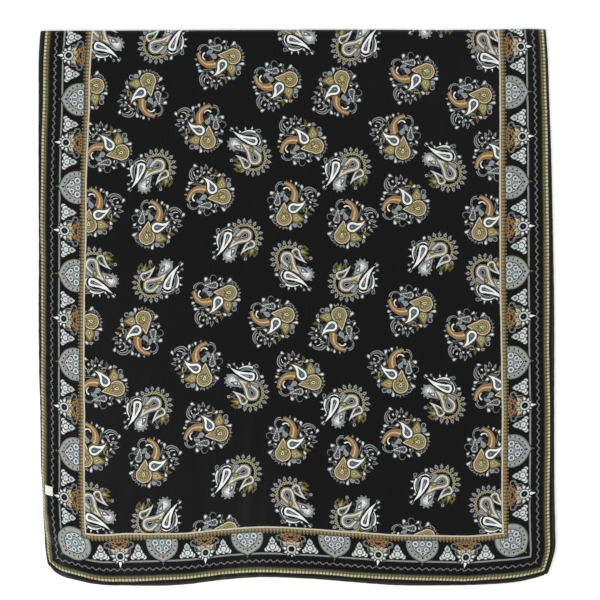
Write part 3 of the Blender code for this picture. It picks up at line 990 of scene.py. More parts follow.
def make_curl():
    """A curl: an arc of the given radius round the centre, starting in the direction Way and
    going anticlockwise through Sweep radians, or clockwise if that is negative.  Width is half
    of its thickness at its start, and it thins to a third of that at its end.  The ring number
    is the distance from the arc's middle line over that half thickness."""
    inputs = {**FRAME, "Radius": 5.0, "Sweep": 3.0, "Width": 1.0}
    tree, take, out = new_group("Curl", inputs, SHAPE_GIVES)
    x, y = own_frame(take)
    y = multiply(y, sign(take["Sweep"]))
    angle = remainder(arctangent(y, x), 2 * math.pi)
    share = divide(angle, absolute(take["Sweep"]))
    width = multiply(take["Width"], multiply_add(share, -0.67, 1.0))
    off = absolute(subtract(distance(x, y), take["Radius"]))
    past_end = multiply(more_than(share, 1.0), 9.0)
    ring = add(divide(off, greatest(width, 0.05)), past_end)
    feed(out, {"Ring": ring, "Around": angle, "Along": share})
    return tree


def make_fan():
    """Turns the plane so that many petals can be drawn as one.  Round the centre, the angle from
    Way is cut into Count equal parts over the Span, and each point is moved into the part round
    the x axis: its own petal's frame."""
    tree, take, out = new_group("Fan", {**FRAME, "Span": 3.0, "Count": 9.0}, {"Place": 3})
    x, y = own_frame(take)
    angle = arctangent(y, x)
    gaps = subtract(take["Count"], 1.0)
    part = divide(take["Span"], gaps)
    half = multiply(gaps, 0.5)
    number = whole(add(divide(angle, part), half))
    number = least(greatest(number, 0.0), gaps)
    rest = subtract(angle, multiply(subtract(number, half), part))
    far = distance(x, y)
    feed(out, {"Place": place_at(multiply(far, cosine(rest)), multiply(far, sine(rest)))})
    return tree


DROP, CURL, FAN = make_drop(), make_curl(), make_fan()
print("shape groups", DROP.name, CURL.name, FAN.name)

# %% [markdown]
# A motif is a shape with its colours: each row says how far out a colour goes, in ring numbers.
# Beyond the last row the motif is clear, and what was printed before it stays.  Some motifs also
# have beads round a ring, or bars across.

# %% Inks
WHITE = ink(226, 229, 225)
PEARL = ink(192, 197, 194)
SILVER_GREY = ink(146, 148, 147)
GREY = ink(104, 106, 107)
DIM = ink(58, 59, 61)
SLATE = ink(88, 100, 112)
PALE_BLUE = ink(134, 152, 162)
CREAM = ink(206, 196, 164)
STRAW = ink(162, 151, 106)
OLIVE = ink(108, 101, 62)
MOSS = ink(54, 51, 32)
TAN = ink(148, 130, 102)
BROWN = ink(82, 60, 44)
AMBER = ink(160, 124, 80)
PEACH = ink(206, 184, 144)
MAUVE = ink(150, 138, 146)
print("cream", [round(value, 3) for value in CREAM])

# %% [markdown]
# On the real scarf each motif is outlines within outlines, in a few inks.  The rows below say so
# for paisleys with several borders, for plain buds and petals, and for curls.

# %% The motifs' colours
MOTIFS = {
    # name: (shape, colour rows from the middle out, beads, bars)
    # beads: from ring, to ring, number and colour; bars: number, colour and strength
    "pearl": ("drop", ((0.10, CREAM), (0.22, DIM), (0.42, SLATE), (0.50, BLACK), (0.60, GREY),
                       (0.98, WHITE), (1.15, BLACK), (1.26, OLIVE))),
    "bright": ("drop", ((0.42, BLACK), (0.52, SLATE), (1.0, WHITE), (1.22, BLACK)),
               (0.0, 0.34, 4, MAUVE)),
    "gilt": ("drop", ((0.09, BROWN), (0.20, CREAM), (0.25, MOSS), (0.50, ink(92, 86, 54)),
                      (0.55, MOSS), (0.66, STRAW), (0.70, MOSS), (0.80, TAN), (0.84, BROWN),
                      (0.95, CREAM), (1.02, BROWN), (1.10, BLACK)),
             (0.27, 0.49, 12, STRAW)),
    "olive": ("drop", ((0.20, CREAM), (0.32, MOSS), (0.70, STRAW), (1.0, OLIVE), (1.12, BLACK)),
              None, (7, OLIVE, 0.35)),
    "horn": ("curl", ((0.14, PEACH), (0.42, AMBER), (0.50, BROWN), (0.68, TAN), (0.76, BROWN),
                      (0.94, AMBER), (1.02, BROWN), (1.14, BLACK)),
             None, (14, BROWN, 0.25)),
    "lens": ("drop", ((0.62, DIM), (0.70, BLACK), (1.0, PEARL), (1.2, BLACK)), None, (5, GREY, 0.9)),
    "frost": ("drop", ((0.30, PALE_BLUE), (0.46, SLATE), (0.82, SILVER_GREY), (1.0, GREY),
                       (1.15, BLACK))),
    "bud": ("drop", ((0.38, WHITE), (0.72, SILVER_GREY), (0.92, DIM), (1.2, BLACK))),
    "petal": ("drop", ((0.26, BLACK), (0.70, SILVER_GREY), (0.95, DIM), (1.15, BLACK))),
    "leaf": ("drop", ((0.12, BLACK), (0.50, DIM), (0.66, BLACK), (0.96, SILVER_GREY),
                      (1.15, BLACK))),
    "shade": ("drop", ((0.40, BLACK), (0.55, OLIVE), (0.75, MOSS), (1.0, OLIVE), (1.15, BLACK))),
    "ringed": ("drop", ((0.22, BLACK), (0.34, SILVER_GREY), (0.44, BLACK), (0.56, GREY),
                        (0.70, SILVER_GREY), (0.76, MOSS), (1.04, ink(204, 198, 176)), (1.12, BLACK),
                        (1.20, SILVER_GREY), (1.28, BLACK))),
    "ivory": ("drop", ((0.20, DIM), (0.50, OLIVE), (0.60, BLACK), (1.0, PEARL), (1.14, BLACK))),
    "seed": ("drop", ((1.0, BLACK), (1.2, DIM))),
    "rope": ("drop", ((0.30, MOSS), (0.9, ink(150, 145, 114)), (1.12, BLACK))),
    "glow": ("drop", ((0.5, STRAW), (1.0, OLIVE), (1.2, MOSS))),
    "plume": ("drop", ((0.30, WHITE), (0.62, PEARL), (0.70, GREY), (1.0, SILVER_GREY), (1.1, BLACK)),
              None, (8, GREY, 0.35)),
    "stroke": ("curl", ((0.30, DIM), (0.42, BLACK), (0.95, SILVER_GREY), (1.3, BLACK))),
    "shadow": ("curl", ((0.6, GREY), (1.0, DIM), (1.3, BLACK))),
    "white_line": ("curl", ((0.8, WHITE), (1.0, SILVER_GREY), (1.4, BLACK))),
    "gold_line": ("curl", ((0.7, STRAW), (1.0, OLIVE), (1.4, BLACK))),
}
print(len(MOTIFS), "motifs for the clusters")

# %% [markdown]
# Each motif becomes one node group that prints over what is under it.  A design is then a chain of
# such groups, and a whole fan of petals costs only one node more than a single petal.

# %% Motif groups
RAMP_REACH = 1.6  # how far out a motif's colour ramp goes, in ring numbers


def ring_ramp(number, colour_rows, reach=RAMP_REACH, beyond=(*BLACK[:3], 0.0)):
    """A colour ramp with hard edges: each row's colour goes up to the row's number, and past the
    last one the colour is "beyond", which is clear if nothing else is asked for."""
    ramp = put("ValToRGB", {0: divide(number, reach)})
    bands = ramp.color_ramp
    bands.interpolation = "CONSTANT"
    starts = [0.0] + [up_to / reach for up_to, _ in colour_rows]
    colours = [colour for _, colour in colour_rows] + [beyond]
    while len(bands.elements) < len(starts):
        bands.elements.new(0.5)
    for stop, start, colour in zip(bands.elements, starts, colours):
        stop.position, stop.color = start, colour
    return ramp.outputs


def make_motif(name, shape, colour_rows, beads=None, bars=None):
    """The group that prints one motif over what is under it."""
    form_group = {"drop": DROP, "curl": CURL}[shape]
    last_two = {"drop": ("Length", "Bend"), "curl": ("Sweep", "Width")}[shape]
    shaping = {**FRAME, "Radius": 5.0, last_two[0]: 15.0, last_two[1]: 0.0}
    tree, take, out = new_group(f"Motif {name}", {"Under": BLACK, **shaping}, {"Colour": 4})
    form = put("Group", {socket: take[socket] for socket in shaping}, node_tree=form_group).outputs
    colour, cover = ring_ramp(form["Ring"], colour_rows)
    if beads:
        near, far, number, bead = beads
        on_ring = within(form["Ring"], (near + far) / 2, (far - near) / 2)
        on_bead = more_than(cosine(multiply(form["Around"], float(number))), 0.1)
        colour = blend(multiply(on_ring, on_bead), colour, bead)
    if bars:
        number, bar, strength = bars
        on_bar = more_than(waves(form["Along"], 1 / number), 0.2)
        colour = blend(multiply(on_bar, strength), colour, bar)
    feed(out, {"Colour": blend(cover, take["Under"], colour)})
    return tree


def make_motifs(table):
    """The shape and the node group of every motif in a table."""
    return {name: (parts[0], make_motif(name, *parts)) for name, parts in table.items()}


MOTIF_GROUPS = make_motifs(MOTIFS)


def frame_at(place, x, y, turn):
    """The inputs that carry a shape to x and y in millimetres and turn it, in degrees."""
    way = math.radians(turn)
    return {"Place": place, "Centre": (x, y, 0), "Way": (math.cos(way), math.sin(way), 0)}


def print_motif(under, place, name, x, y, turn, radius, last_a, last_b=0.0):
    """One motif of a design. For a drop the last two numbers are its length and bend, and for a
    curl its sweep in degrees and its half width. Sizes are in millimetres."""
    shape, group = MOTIF_GROUPS[name]
    if shape == "drop":
        last_two = {"Length": last_a, "Bend": last_b}
    else:
        last_two = {"Sweep": math.radians(last_a), "Width": last_b}
    inputs = {"Under": under, **frame_at(place, x, y, turn), "Radius": radius, **last_two}
    return put("Group", inputs, node_tree=group).outputs[0]


def print_fan(under, place, name, x, y, turn, span, number, inner, radius, length):
    """A fan of equal petals round a centre: their heads lie "inner" out from it, and their tips
    point outwards."""
    inputs = {**frame_at(place, x, y, turn), "Span": math.radians(span), "Count": float(number)}
    petal_place = put("Group", inputs, node_tree=FAN).outputs[0]
    return print_motif(under, petal_place, name, inner, 0.0, 0.0, radius, length)


print(len(MOTIF_GROUPS), "motif groups of", len(MOTIF_GROUPS["bud"][1].nodes), "nodes or so")

# %% [markdown]
# ## The two field designs
# Each cluster is a nosegay about 70 mm across, drawn round the origin in millimetres and printed
# from the bottom layer up: grey curls and fans first, then the leaves, then the paisleys.

# %% Gold and silver clusters
# name, x, y, turn, radius, length or sweep, and bend or half width where there is one
GOLD_DESIGN = (
    ("stroke", -21.5, 17.5, 175.0, 7.6, -175.0, 2.0),
    ("shadow", 19.5, 9.5, 155.0, 13.4, -145.0, 1.5),
    ("shadow", -3.0, 30.5, 200.0, 4.4, -200.0, 1.1),
    ("stroke", 13.0, 26.5, 120.0, 4.2, 190.0, 1.0),
    ("leaf", -8.5, 27.0, 200.0, 2.6, 8.0, 0.03),
    ("bud", -13.2, 30.6, 250.0, 3.3, 6.5),
    ("bud", 6.6, 29.8, 215.0, 2.6, 6.5),
    ("bud", 20.2, 27.6, 212.0, 3.3, 9.5, 0.02),
    ("bud", 7.6, 21.0, 100.0, 1.9, 4.5),
    ("leaf", 26.5, 21.0, 120.0, 2.6, 8.0, 0.03),
    ("bud", 32.4, -0.9, 184.0, 2.9, 10.0),
    ("leaf", 30.5, 7.0, 200.0, 2.6, 6.0),
    ("leaf", 26.0, -13.0, 120.0, 3.4, 8.0, -0.03),
    ("frost", 26.4, -6.6, 170.0, 3.7, 8.0),
    ("bud", -31.2, -1.4, 10.0, 2.6, 5.0),
    ("leaf", -17.0, -10.0, 165.0, 2.2, 12.0, 0.02),
    ("bud", -27.8, -9.8, -12.0, 2.9, 8.5),
    ("stroke", -17.2, -22.5, 120.0, 9.6, 165.0, 2.6),
    ("white_line", -16.5, -24.5, 20.0, 5.6, 175.0, 1.0),
    ("petal", -17.5, -18.0, 100.0, 2.8, 7.0),
    ("bud", -20.8, -34.0, 20.0, 3.0, 6.5),
    ("bud", -16.8, -26.5, 60.0, 1.9, 4.0),
    ("shade", 8.8, -20.5, 265.0, 3.0, 8.0),
    ("stroke", 1.8, -22.0, 150.0, 6.6, -150.0, 1.6),
    ("gold_line", 5.0, -11.0, 240.0, 9.4, 90.0, 1.1),
    ("petal", -11.5, -26.6, 90.0, 2.4, 5.5),
    ("petal", -11.0, -30.0, 250.0, 2.3, 5.0),
    ("petal", 1.6, -27.4, 300.0, 2.5, 6.5),
    ("bud", -7.6, -24.4, 130.0, 2.0, 4.5),
    ("bud", -1.6, -24.6, 30.0, 2.2, 5.5),
    ("leaf", -5.0, -30.2, 265.0, 2.6, 6.5),
    ("seed", -5.2, -27.6, 0.0, 1.6, 1.7),
    ("frost", -14.6, 14.8, 20.0, 3.4, 9.0, 0.04),
    ("frost", -7.4, 9.6, 140.0, 4.0, 9.0, 0.03),
    ("white_line", -18.2, 10.3, 118.0, 5.2, 130.0, 1.3),
    ("lens", -1.2, 21.0, 183.0, 4.6, 16.5, -0.012),
    ("olive", 16.6, -6.6, -92.0, 6.6, 13.5, 0.012),
    ("bud", 13.4, -20.6, 150.0, 3.0, 6.5),
    ("petal", 18.6, -20.8, 20.0, 2.8, 6.0),
    ("shadow", -13.5, -3.4, 300.0, 4.4, -120.0, 1.6),
    ("horn", -13.2, 14.6, -62.0, 16.2, -118.0, 6.1),
    ("gilt", 19.0, 9.6, 170.0, 11.2, 23.0, 0.004),
    ("glow", 15.2, 5.6, 110.0, 2.4, 6.0),
    ("bud", -10.2, -12.4, 160.0, 3.1, 6.5),
    ("pearl", 3.9, -1.6, -100.0, 7.1, 18.5, -0.030),
)
SILVER_DESIGN = (
    ("stroke", -9.5, 1.0, 125.0, 15.4, 95.0, 2.6),
    ("white_line", -9.5, 0.5, 148.0, 18.8, 62.0, 1.5),
    ("shadow", -13.5, 7.0, 20.0, 12.0, 140.0, 1.4),
    ("white_line", -13.5, 7.0, 35.0, 9.0, 120.0, 1.0),
    ("bud", -11.8, 22.4, 245.0, 3.0, 6.0),
    ("bud", -32.4, -22.3, 40.0, 3.4, 6.0),
    ("petal", -33.8, -15.0, 20.0, 2.0, 4.0),
    ("petal", 10.3, -26.0, 90.0, 3.0, 6.0),
    ("leaf", -27.0, 16.0, 250.0, 2.4, 7.0),
    ("olive", -1.0, 17.6, 215.0, 3.2, 9.0),
    ("frost", 0.4, 12.4, 222.0, 4.6, 13.0),
    ("plume", -12.0, -20.0, 66.0, 8.2, 32.0, -0.006),
    ("bud", -6.5, -14.0, 250.0, 2.4, 8.0),
    ("shade", 23.8, -17.0, 262.0, 3.8, 7.5),
    ("glow", 19.6, -14.6, 250.0, 3.4, 9.5),
    ("shade", 12.4, -15.6, 255.0, 3.8, 8.5),
    ("ivory", 18.4, -5.6, 205.0, 5.8, 20.0, 0.019),
    ("seed", 15.0, -7.4, 0.0, 1.2, 1.3),
    ("seed", 18.8, -5.6, 0.0, 1.3, 1.4),
    ("ringed", 10.3, 6.7, 200.0, 8.4, 26.0, 0.012),
    ("glow", -0.6, 2.8, 190.0, 2.6, 8.0),
    ("bright", -13.4, 6.4, -104.0, 5.8, 31.0, -0.010),
)
# name, x, y, turn, span, petals, inner, radius, length
GOLD_FANS = (
    ("petal", 18.0, 9.0, 0.0, 110.0, 7, 14.6, 1.7, 3.6),
    ("petal", -19.0, 4.5, 175.0, 100.0, 5, 13.6, 1.6, 3.4),
)
SILVER_FANS = (
    ("petal", 9.4, 4.3, 42.0, 172.0, 10, 22.6, 3.1, 5.5),
    ("bud", -11.0, 1.0, 178.0, 74.0, 4, 20.4, 1.9, 5.0),
    ("bud", -12.0, -19.5, -78.0, 130.0, 5, 8.2, 2.7, 4.0),
    ("rope", 9.4, 4.3, 36.0, 165.0, 13, 17.2, 2.3, 4.0),
)
LACE_REACH, LACE_CELL, LACE_RAGGED = 25.0, 5.0, 9.0  # millimetres


def print_lace(place):
    """Small dim rings between the motifs: cells of a Voronoi pattern, kept to a ragged disc."""
    cells = put("TexVoronoi", {"Vector": place, "Scale": 1.0 / LACE_CELL, "Randomness": 0.6})
    rings = ((0.24, GREY), (0.46, BLACK), (0.78, DIM), (0.95, BLACK))
    colour, cover = ring_ramp(multiply(cells.outputs["Distance"], 2.0), rings)
    edge_at = multiply_add(noise(place, 0.12, 0.0)[0], LACE_RAGGED, LACE_REACH - LACE_RAGGED / 2)
    inside = less_than(vector("LENGTH", place), edge_at)
    return blend(multiply(cover, inside), BLACK, colour)


print("gold", len(GOLD_DESIGN), "motifs, silver", len(SILVER_DESIGN))

# %% [markdown]
# ## Satin
# Satin shows long warp threads that run one way, so it has a broad soft sheen and hardly any
# visible weave.  The finish group lays fine threads, a few slubs and a faint cloudiness over
# whatever is printed, and gives back the colour, the roughness and a height for the bump.


# %% Satin finish
def make_satin():
    """Threads are sine waves across the warp; slubs are noise stretched forty times along it;
    the cloud is slow noise that shifts the colour by a few hundredths."""
    inputs = {"Colour": BLACK, "Cloth": (0, 0, 0), "Thread pitch": 0.42}
    gives = {"Colour": 4, "Roughness": 1, "Height": 1}
    tree, take, out = new_group("Satin finish", inputs, gives)
    cloth_place = take["Cloth"]
    turns = divide(axes_of(cloth_place)[0], take["Thread pitch"])
    threads = sine(multiply(turns, 2 * math.pi))
    slubs = noise(vector("MULTIPLY", cloth_place, (0.8, 0.02, 0.0)), 1.0, 2.0)[0]
    cloud = noise(vector("MULTIPLY", cloth_place, (0.016, 0.011, 0.0)), 1.0, 3.0)[0]
    tone = multiply(multiply_add(slubs, 0.16, 0.92), multiply_add(cloud, 0.12, 0.94))
    relief = multiply_add(threads, 0.010, multiply(slubs, 0.05))
    feed(out, {
        "Colour": scaled(take["Colour"], tone),
        "Roughness": multiply_add(slubs, 0.14, 0.30),
        "Height": multiply_add(cloud, 0.9, relief),
    })
    return tree


SATIN = make_satin()
print("satin finish", len(SATIN.nodes), "nodes")

# %% [markdown]
# Each part of the print is a material of its own, because one with every motif in it would be slow
# to render.  They all end in the same satin, and their drawn lines wander a little, as ink does.

# %% Materials of the print
SATIN_LOOK = {"Specular IOR Level": 0.26, "Sheen Weight": 0.01}  # printed polyester, not silk
# how far the drawn lines wander, and over what length, in mm
CLUSTER_WOBBLE, BORDER_WOBBLE = (1.6, 7.0), (0.8, 6.0)


def new_material(name):
    """A material and its shader node."""
    made = bpy.data.materials.new(name)
    made.use_nodes = True
    return made, made.node_tree.nodes["Principled BSDF"]


def map_place(shader, name):
    """The place in a UV map, for the material that the shader is in."""
    return put("UVMap", {}, shader.id_data, uv_map=name).outputs[0]


def object_place(shader):
    return put("TexCoord", {}, shader.id_data).outputs["Object"]


def printed_place(shader, name, wobble, size):
    """A UV map's place, shifted by soft noise so that the drawn lines are a little uneven."""
    place = map_place(shader, name)
    centred = vector("SUBTRACT", noise(place, 1.0 / size, 1.0)[1], (0.5, 0.5, 0.5))
    return vector("ADD", place, scaled(centred, wobble))


def finish(shader, colour, roughness, height, strength, depth, more):
    """Joins the colour, the roughness, a bump of this depth and any more inputs to the shader."""
    bump = put("Bump", {"Height": height, "Strength": strength, "Distance": depth}).outputs[0]
    feed(shader, {"Base Color": colour, "Roughness": roughness, "Normal": bump, **more})


def finish_in_satin(shader, colour):
    """Joins a printed colour to the shader through the satin finish."""
    inputs = {"Cloth": map_place(shader, "cloth"), "Colour": colour}
    satin = put("Group", inputs, node_tree=SATIN).outputs
    look = {**SATIN_LOOK, "Sheen Roughness": 0.4}
    finish(shader, satin["Colour"], satin["Roughness"], satin["Height"], 0.25, 0.0006, look)


def plain_material(name, colour):
    made, shader = new_material(name)
    finish_in_satin(shader, colour)
    return made


def cluster_material(name, design, fans):
    """The satin with one cluster printed on it round the motif map's origin."""
    made, shader = new_material(name)
    place = printed_place(shader, "motif", *CLUSTER_WOBBLE)
    colour = print_lace(place)
    for row in fans:
        colour = print_fan(colour, place, *row)
    for row in design:
        colour = print_motif(colour, place, *row)
    finish_in_satin(shader, colour)
    print(name, len(fans) + len(design), "motifs,", len(made.node_tree.nodes), "nodes")
    return made


# %% [markdown]
# ## The border
# Everything in the border is drawn in two numbers: how far in from the edge of the print, and how
# far along from the nearest medallion.  Straight bands come from the first number alone.  The
# mitred corners need no extra drawing, because "in" is the smaller of the two distances.

# %% Sizes of the border
PITCH = 121.5  # print units between medallions, for the motifs' own sizes
# print units from the edge up to which each plain band goes
ROPES_FROM = 61.6
BANDS = (
    (3.0, ink(40, 40, 31)), (6.3, ink(20, 20, 17)), (6.9, MOSS), (9.6, ink(190, 187, 158)),
    (12.9, ink(106, 103, 73)), (14.6, MOSS), (31.2, BLACK), (33.5, ink(134, 136, 134)),
    (ROPES_FROM, BLACK), (62.4, MOSS), (64.4, ink(112, 101, 72)), (66.8, ink(146, 134, 102)),
    (67.3, MOSS), (69.6, ink(194, 187, 164)),
)
GOLD_BAND, ROPES = (9.9, 3.0), (64.6, 2.3)  # middle and half width of the ticked bands
CHAIN_MIDDLE, CHAIN_SWING, CHAIN_PITCH, CHAIN_WIDTH = 22.3, 1.7, 9.95, 0.85
TICK_PITCH, TICK_DARKNESS = 4.85, 0.72
BEADS_AT = 61.2  # a row of beads along the ropes' outer side
CORNER_IN = 56.0  # how far in the corner's medallion stands
print(len(BANDS) + 1, "bands")

# %% [markdown]
# A medallion and a flower take turns along the border, with a pyramid of rings between the two.
# Only half of each is drawn, since the other half is its mirror image: x is the distance from the
# motif's middle, to either side, and y the distance in from the edge.

# %% Medallion and flower
MEDALLION = (
    ("dot", 0.0, 31.0, -90.0, 1.8, 4.5),
    ("medallion", 0.0, 56.0, -90.0, 22.5, 25.5),
    ("shield", 0.0, 57.0, -90.0, 14.0, 17.0),
    ("loop", 9.6, 57.0, 0.0, 4.6, 4.7),
    ("loop", 5.0, 49.0, 0.0, 3.9, 4.0),
    ("loop", 0.0, 57.5, 0.0, 3.8, 3.9),
    ("speck", 0.0, 37.6, -90.0, 1.3, 2.6),
    ("speck", 5.6, 39.4, -60.0, 1.0, 2.2),
    ("speck", 10.8, 42.4, -45.0, 1.0, 2.2),
    ("speck", 15.2, 46.8, -30.0, 1.0, 2.2),
    ("speck", 18.0, 52.4, -15.0, 1.0, 2.2),
    ("speck", 18.9, 58.6, 0.0, 1.0, 2.2),
)
FLOWER = (
    ("stroke", 16.5, 54.5, 230.0, 3.4, 330.0, 1.3),
    ("leaf", 12.8, 45.0, 70.0, 2.4, 8.0),
    ("bronze_petal", 8.2, 57.0, 25.0, 3.2, 7.6),
    ("bronze_petal", 4.6, 59.4, 60.0, 3.2, 6.6),
    ("bronze_petal", 4.6, 52.4, 5.0, 3.4, 6.8),
    ("bronze_petal", 0.0, 59.6, 90.0, 3.2, 5.6),
    ("tan_petal", 0.0, 49.4, -90.0, 3.6, 6.4),
    ("seed", 2.6, 55.6, 90.0, 1.3, 1.4),
    ("cream_petal", 6.8, 45.4, 40.0, 3.2, 7.6),
    ("cream_petal", 3.4, 46.8, 60.0, 2.4, 5.4),
    ("bud", 9.0, 40.0, 20.0, 3.2, 7.0),
    ("bud", 7.2, 35.4, -25.0, 2.8, 5.0),
    ("bud", 3.8, 33.4, -60.0, 2.4, 5.0),
    ("spike", 0.0, 30.6, -90.0, 1.9, 6.2),
    ("eye", 0.0, 39.6, 0.0, 6.3, 6.4),
    ("lace", 26.0, 38.0, 0.0, 2.9, 3.0),
    ("lace", 34.2, 38.0, 0.0, 3.0, 3.1),
    ("lace", 17.8, 38.0, 0.0, 3.0, 3.1),
    ("lace", 30.6, 40.4, 0.0, 4.0, 4.1),
    ("lace", 21.4, 40.4, 0.0, 4.0, 4.1),
    ("lace", 28.6, 45.4, 0.0, 3.3, 3.4),
    ("lace", 23.4, 45.4, 0.0, 3.3, 3.4),
    ("lace", 26.0, 41.8, 0.0, 3.7, 3.8),
    ("lobe", 26.0, 49.8, 90.0, 4.3, 6.6),
)
BORDER_MOTIFS = {
    "medallion": ("drop", ((0.62, DIM), (0.80, ink(138, 142, 139)), (0.92, ink(152, 156, 152)),
                           (1.0, ink(116, 120, 117)), (1.05, BLACK))),
    "shield": ("drop", ((0.60, PALE_BLUE), (0.68, DIM), (0.96, PEARL), (1.04, DIM)),
               (0.74, 0.90, 13, DIM)),
    "loop": ("drop", ((0.34, SLATE), (0.44, DIM), (0.90, PEARL), (1.1, DIM))),
    "speck": ("drop", ((1.0, BLACK),)),
    "spike": ("drop", ((1.0, WHITE), (1.3, BLACK))),
    "dot": ("drop", ((0.4, MOSS), (1.0, OLIVE), (1.3, BLACK))),
    "bronze_petal": ("drop", ((0.34, MOSS), (0.92, ink(138, 106, 74)), (1.15, BROWN))),
    "tan_petal": ("drop", ((0.25, BROWN), (0.90, TAN), (1.15, BROWN))),
    "cream_petal": ("drop", ((0.3, OLIVE), (0.95, ink(184, 176, 148)), (1.2, MOSS))),
    "eye": ("drop", ((0.16, SLATE), (0.60, BLACK), (0.70, SLATE), (0.98, PEARL), (1.12, BLACK))),
    "lace": ("drop", ((0.26, GREY), (0.90, ink(204, 210, 206)), (1.08, GREY), (1.2, BLACK))),
    "lobe": ("drop", ((0.24, GREY), (0.34, DIM), (0.90, ink(176, 183, 180)), (1.15, BLACK))),
}
MOTIF_GROUPS.update(make_motifs(BORDER_MOTIFS))
print(len(MEDALLION) + len(FLOWER), "motifs in the border's cell")

# %% [markdown]
# The bands are a single colour ramp over the distance from the edge.  Triangle waves along the edge
# give the ticks of the gold bands and the chain's zigzag.


# %% Bands
def wave_between(value, pitch):
    """A triangle wave from 0 to 1 and back over one pitch."""
    return to_and_fro(divide(value, pitch / 2), 1.0)


def make_bands():
    """The straight bands, their ticks and the wavy chain, for a place in print units: x from the
    side's edge of the print and y from the end's."""
    gives = {"Colour": 4, "Inwards": 1, "Along": 1}
    tree, take, out = new_group("Border bands", {"Place": (0, 0, 0)}, gives)
    sides = axes_of(take["Place"])
    inwards, along = least(sides[0], sides[1]), greatest(sides[0], sides[1])
    colour = ring_ramp(inwards, BANDS, BORDER, BROWN)[0]
    # the ticked bands are warmer in some stretches than in others
    slow = noise(take["Place"], 0.022, 1.0)[0]
    warm = put("MapRange", {0: slow, 1: 0.50, 2: 0.60}).outputs[0]
    gold_band, ropes = within(inwards, *GOLD_BAND), within(inwards, *ROPES)
    warmth = multiply_add(gold_band, 0.30, multiply(ropes, 0.55))
    colour = blend(multiply(warm, warmth), colour, ink(144, 112, 82))
    tick = more_than(wave_between(along, TICK_PITCH), 0.60)
    ticked = multiply(tick, greatest(gold_band, ropes))
    colour = blend(multiply(ticked, TICK_DARKNESS), colour, MOSS)
    chain = wave_between(along, CHAIN_PITCH)
    chain = multiply_add(chain, 2 * CHAIN_SWING, CHAIN_MIDDLE - CHAIN_SWING)
    link = more_than(wave_between(along, CHAIN_PITCH / 4), 0.25)
    on_chain = multiply(within(inwards, chain, CHAIN_WIDTH), link)
    colour = blend(on_chain, colour, ink(120, 121, 120))
    feed(out, {"Colour": colour, "Inwards": inwards, "Along": along})
    return tree


BORDER_BANDS = make_bands()


def border_bands(shader):
    """The outputs of the bands, at the border map's place, and that place."""
    place = printed_place(shader, "border", *BORDER_WOBBLE)
    return put("Group", {"Place": place}, node_tree=BORDER_BANDS).outputs, place


print("bands", len(BORDER_BANDS.nodes), "nodes")

# %% [markdown]
# The border's material prints the medallions and flowers over the bands.  At a corner the two rows
# meet, and one more medallion stands on the diagonal.


# %% Border material
def border_material(name):
    """The satin with the bands, the medallions and the flowers of the border printed on it."""
    made, shader = new_material(name)
    bands, place = border_bands(shader)
    colour, inwards, along = bands
    sides, repeat = axes_of(place), axes_of(map_place(shader, "repeat"))
    phase = choose(less_than(sides[1], sides[0]), repeat[1], repeat[0])
    number = greatest(whole(phase), 0.0)
    from_medallion = multiply(absolute(subtract(phase, number)), PITCH)
    from_flower = subtract(PITCH / 2, from_medallion)

    bead_x = multiply(wave_between(along, TICK_PITCH), TICK_PITCH / 2)
    bead_place = place_at(bead_x, inwards)
    colour = print_motif(colour, bead_place, "glow", 0.0, BEADS_AT, 0.0, 0.9, 1.0)

    # the corner's medallion stands on the diagonal
    slant = PITCH * math.sqrt(0.5)
    corner_up = multiply_add(add(repeat[0], repeat[1]), slant, CORNER_IN)
    corner_off = absolute(multiply(subtract(repeat[0], repeat[1]), slant))
    in_corner = less_than(phase, 0.5)
    x = choose(in_corner, from_medallion, corner_off)
    medallion_place = place_at(x, choose(in_corner, inwards, corner_up))
    flower_place = place_at(from_flower, inwards)
    flat_colour = colour
    for row in MEDALLION:
        colour = print_motif(colour, medallion_place, *row)
    for row in FLOWER:
        colour = print_motif(colour, flower_place, *row)
    # the ropes and the cream line run over the motifs
    colour = blend(more_than(inwards, ROPES_FROM), colour, flat_colour)
    finish_in_satin(shader, colour)
    print(name, len(made.node_tree.nodes), "nodes")
    return made


# %% [markdown]
# The cloth's materials go on in the order of its regions.  The photograph doesn't show the wrong
# side, so it is plain dark satin here.

# %% The cloth's materials
cloth_materials = [
    plain_material("Satin, black ground", BLACK),
    cluster_material("Satin, gold cluster", GOLD_DESIGN, GOLD_FANS),
    cluster_material("Satin, silver cluster", SILVER_DESIGN, SILVER_FANS),
    border_material("Satin, border"),
    plain_material("Satin, wrong side", ink(46, 45, 47)),
]
for made in cloth_materials:
    cloth.data.materials.append(made)

# %% [markdown]
# ## Finishes of the sewing
# The bands of the print run on over the hems, where the satin's threads slant round the roll.
# Thread is a tight twist with a slight gloss, and the label is a plain ribbed tape.


# %% Hem, thread and tape
def hem_material():
    """The border's bands where they run on over the roll, with fine slanting threads."""
    made, shader = new_material("Satin, rolled hem")
    printed = border_bands(shader)[0]["Colour"]
    place = map_place(shader, "hem")
    axes = axes_of(place)
    threads = waves(multiply_add(axes[1], 1.6, axes[0]), 0.5)
    cloud = noise(place, 0.35, 3.0)[0]
    colour = scaled(printed, multiply_add(cloud, 0.30, 0.85))
    height = multiply_add(threads, 0.04, multiply(cloud, 0.6))
    finish(shader, colour, multiply_add(cloud, 0.16, 0.34), height, 0.35, 0.0004, SATIN_LOOK)
    return made


def thread_material(name, dark, light):
    """Thread: fine noise between two tones for its fibres, in Object space, being so small."""
    made, shader = new_material(name)
    fibres = noise(object_place(shader), 2600.0, 2.0)[0]
    finish(shader, blend(fibres, dark, light), 0.5, fibres, 0.4, 0.0001, {})
    return made


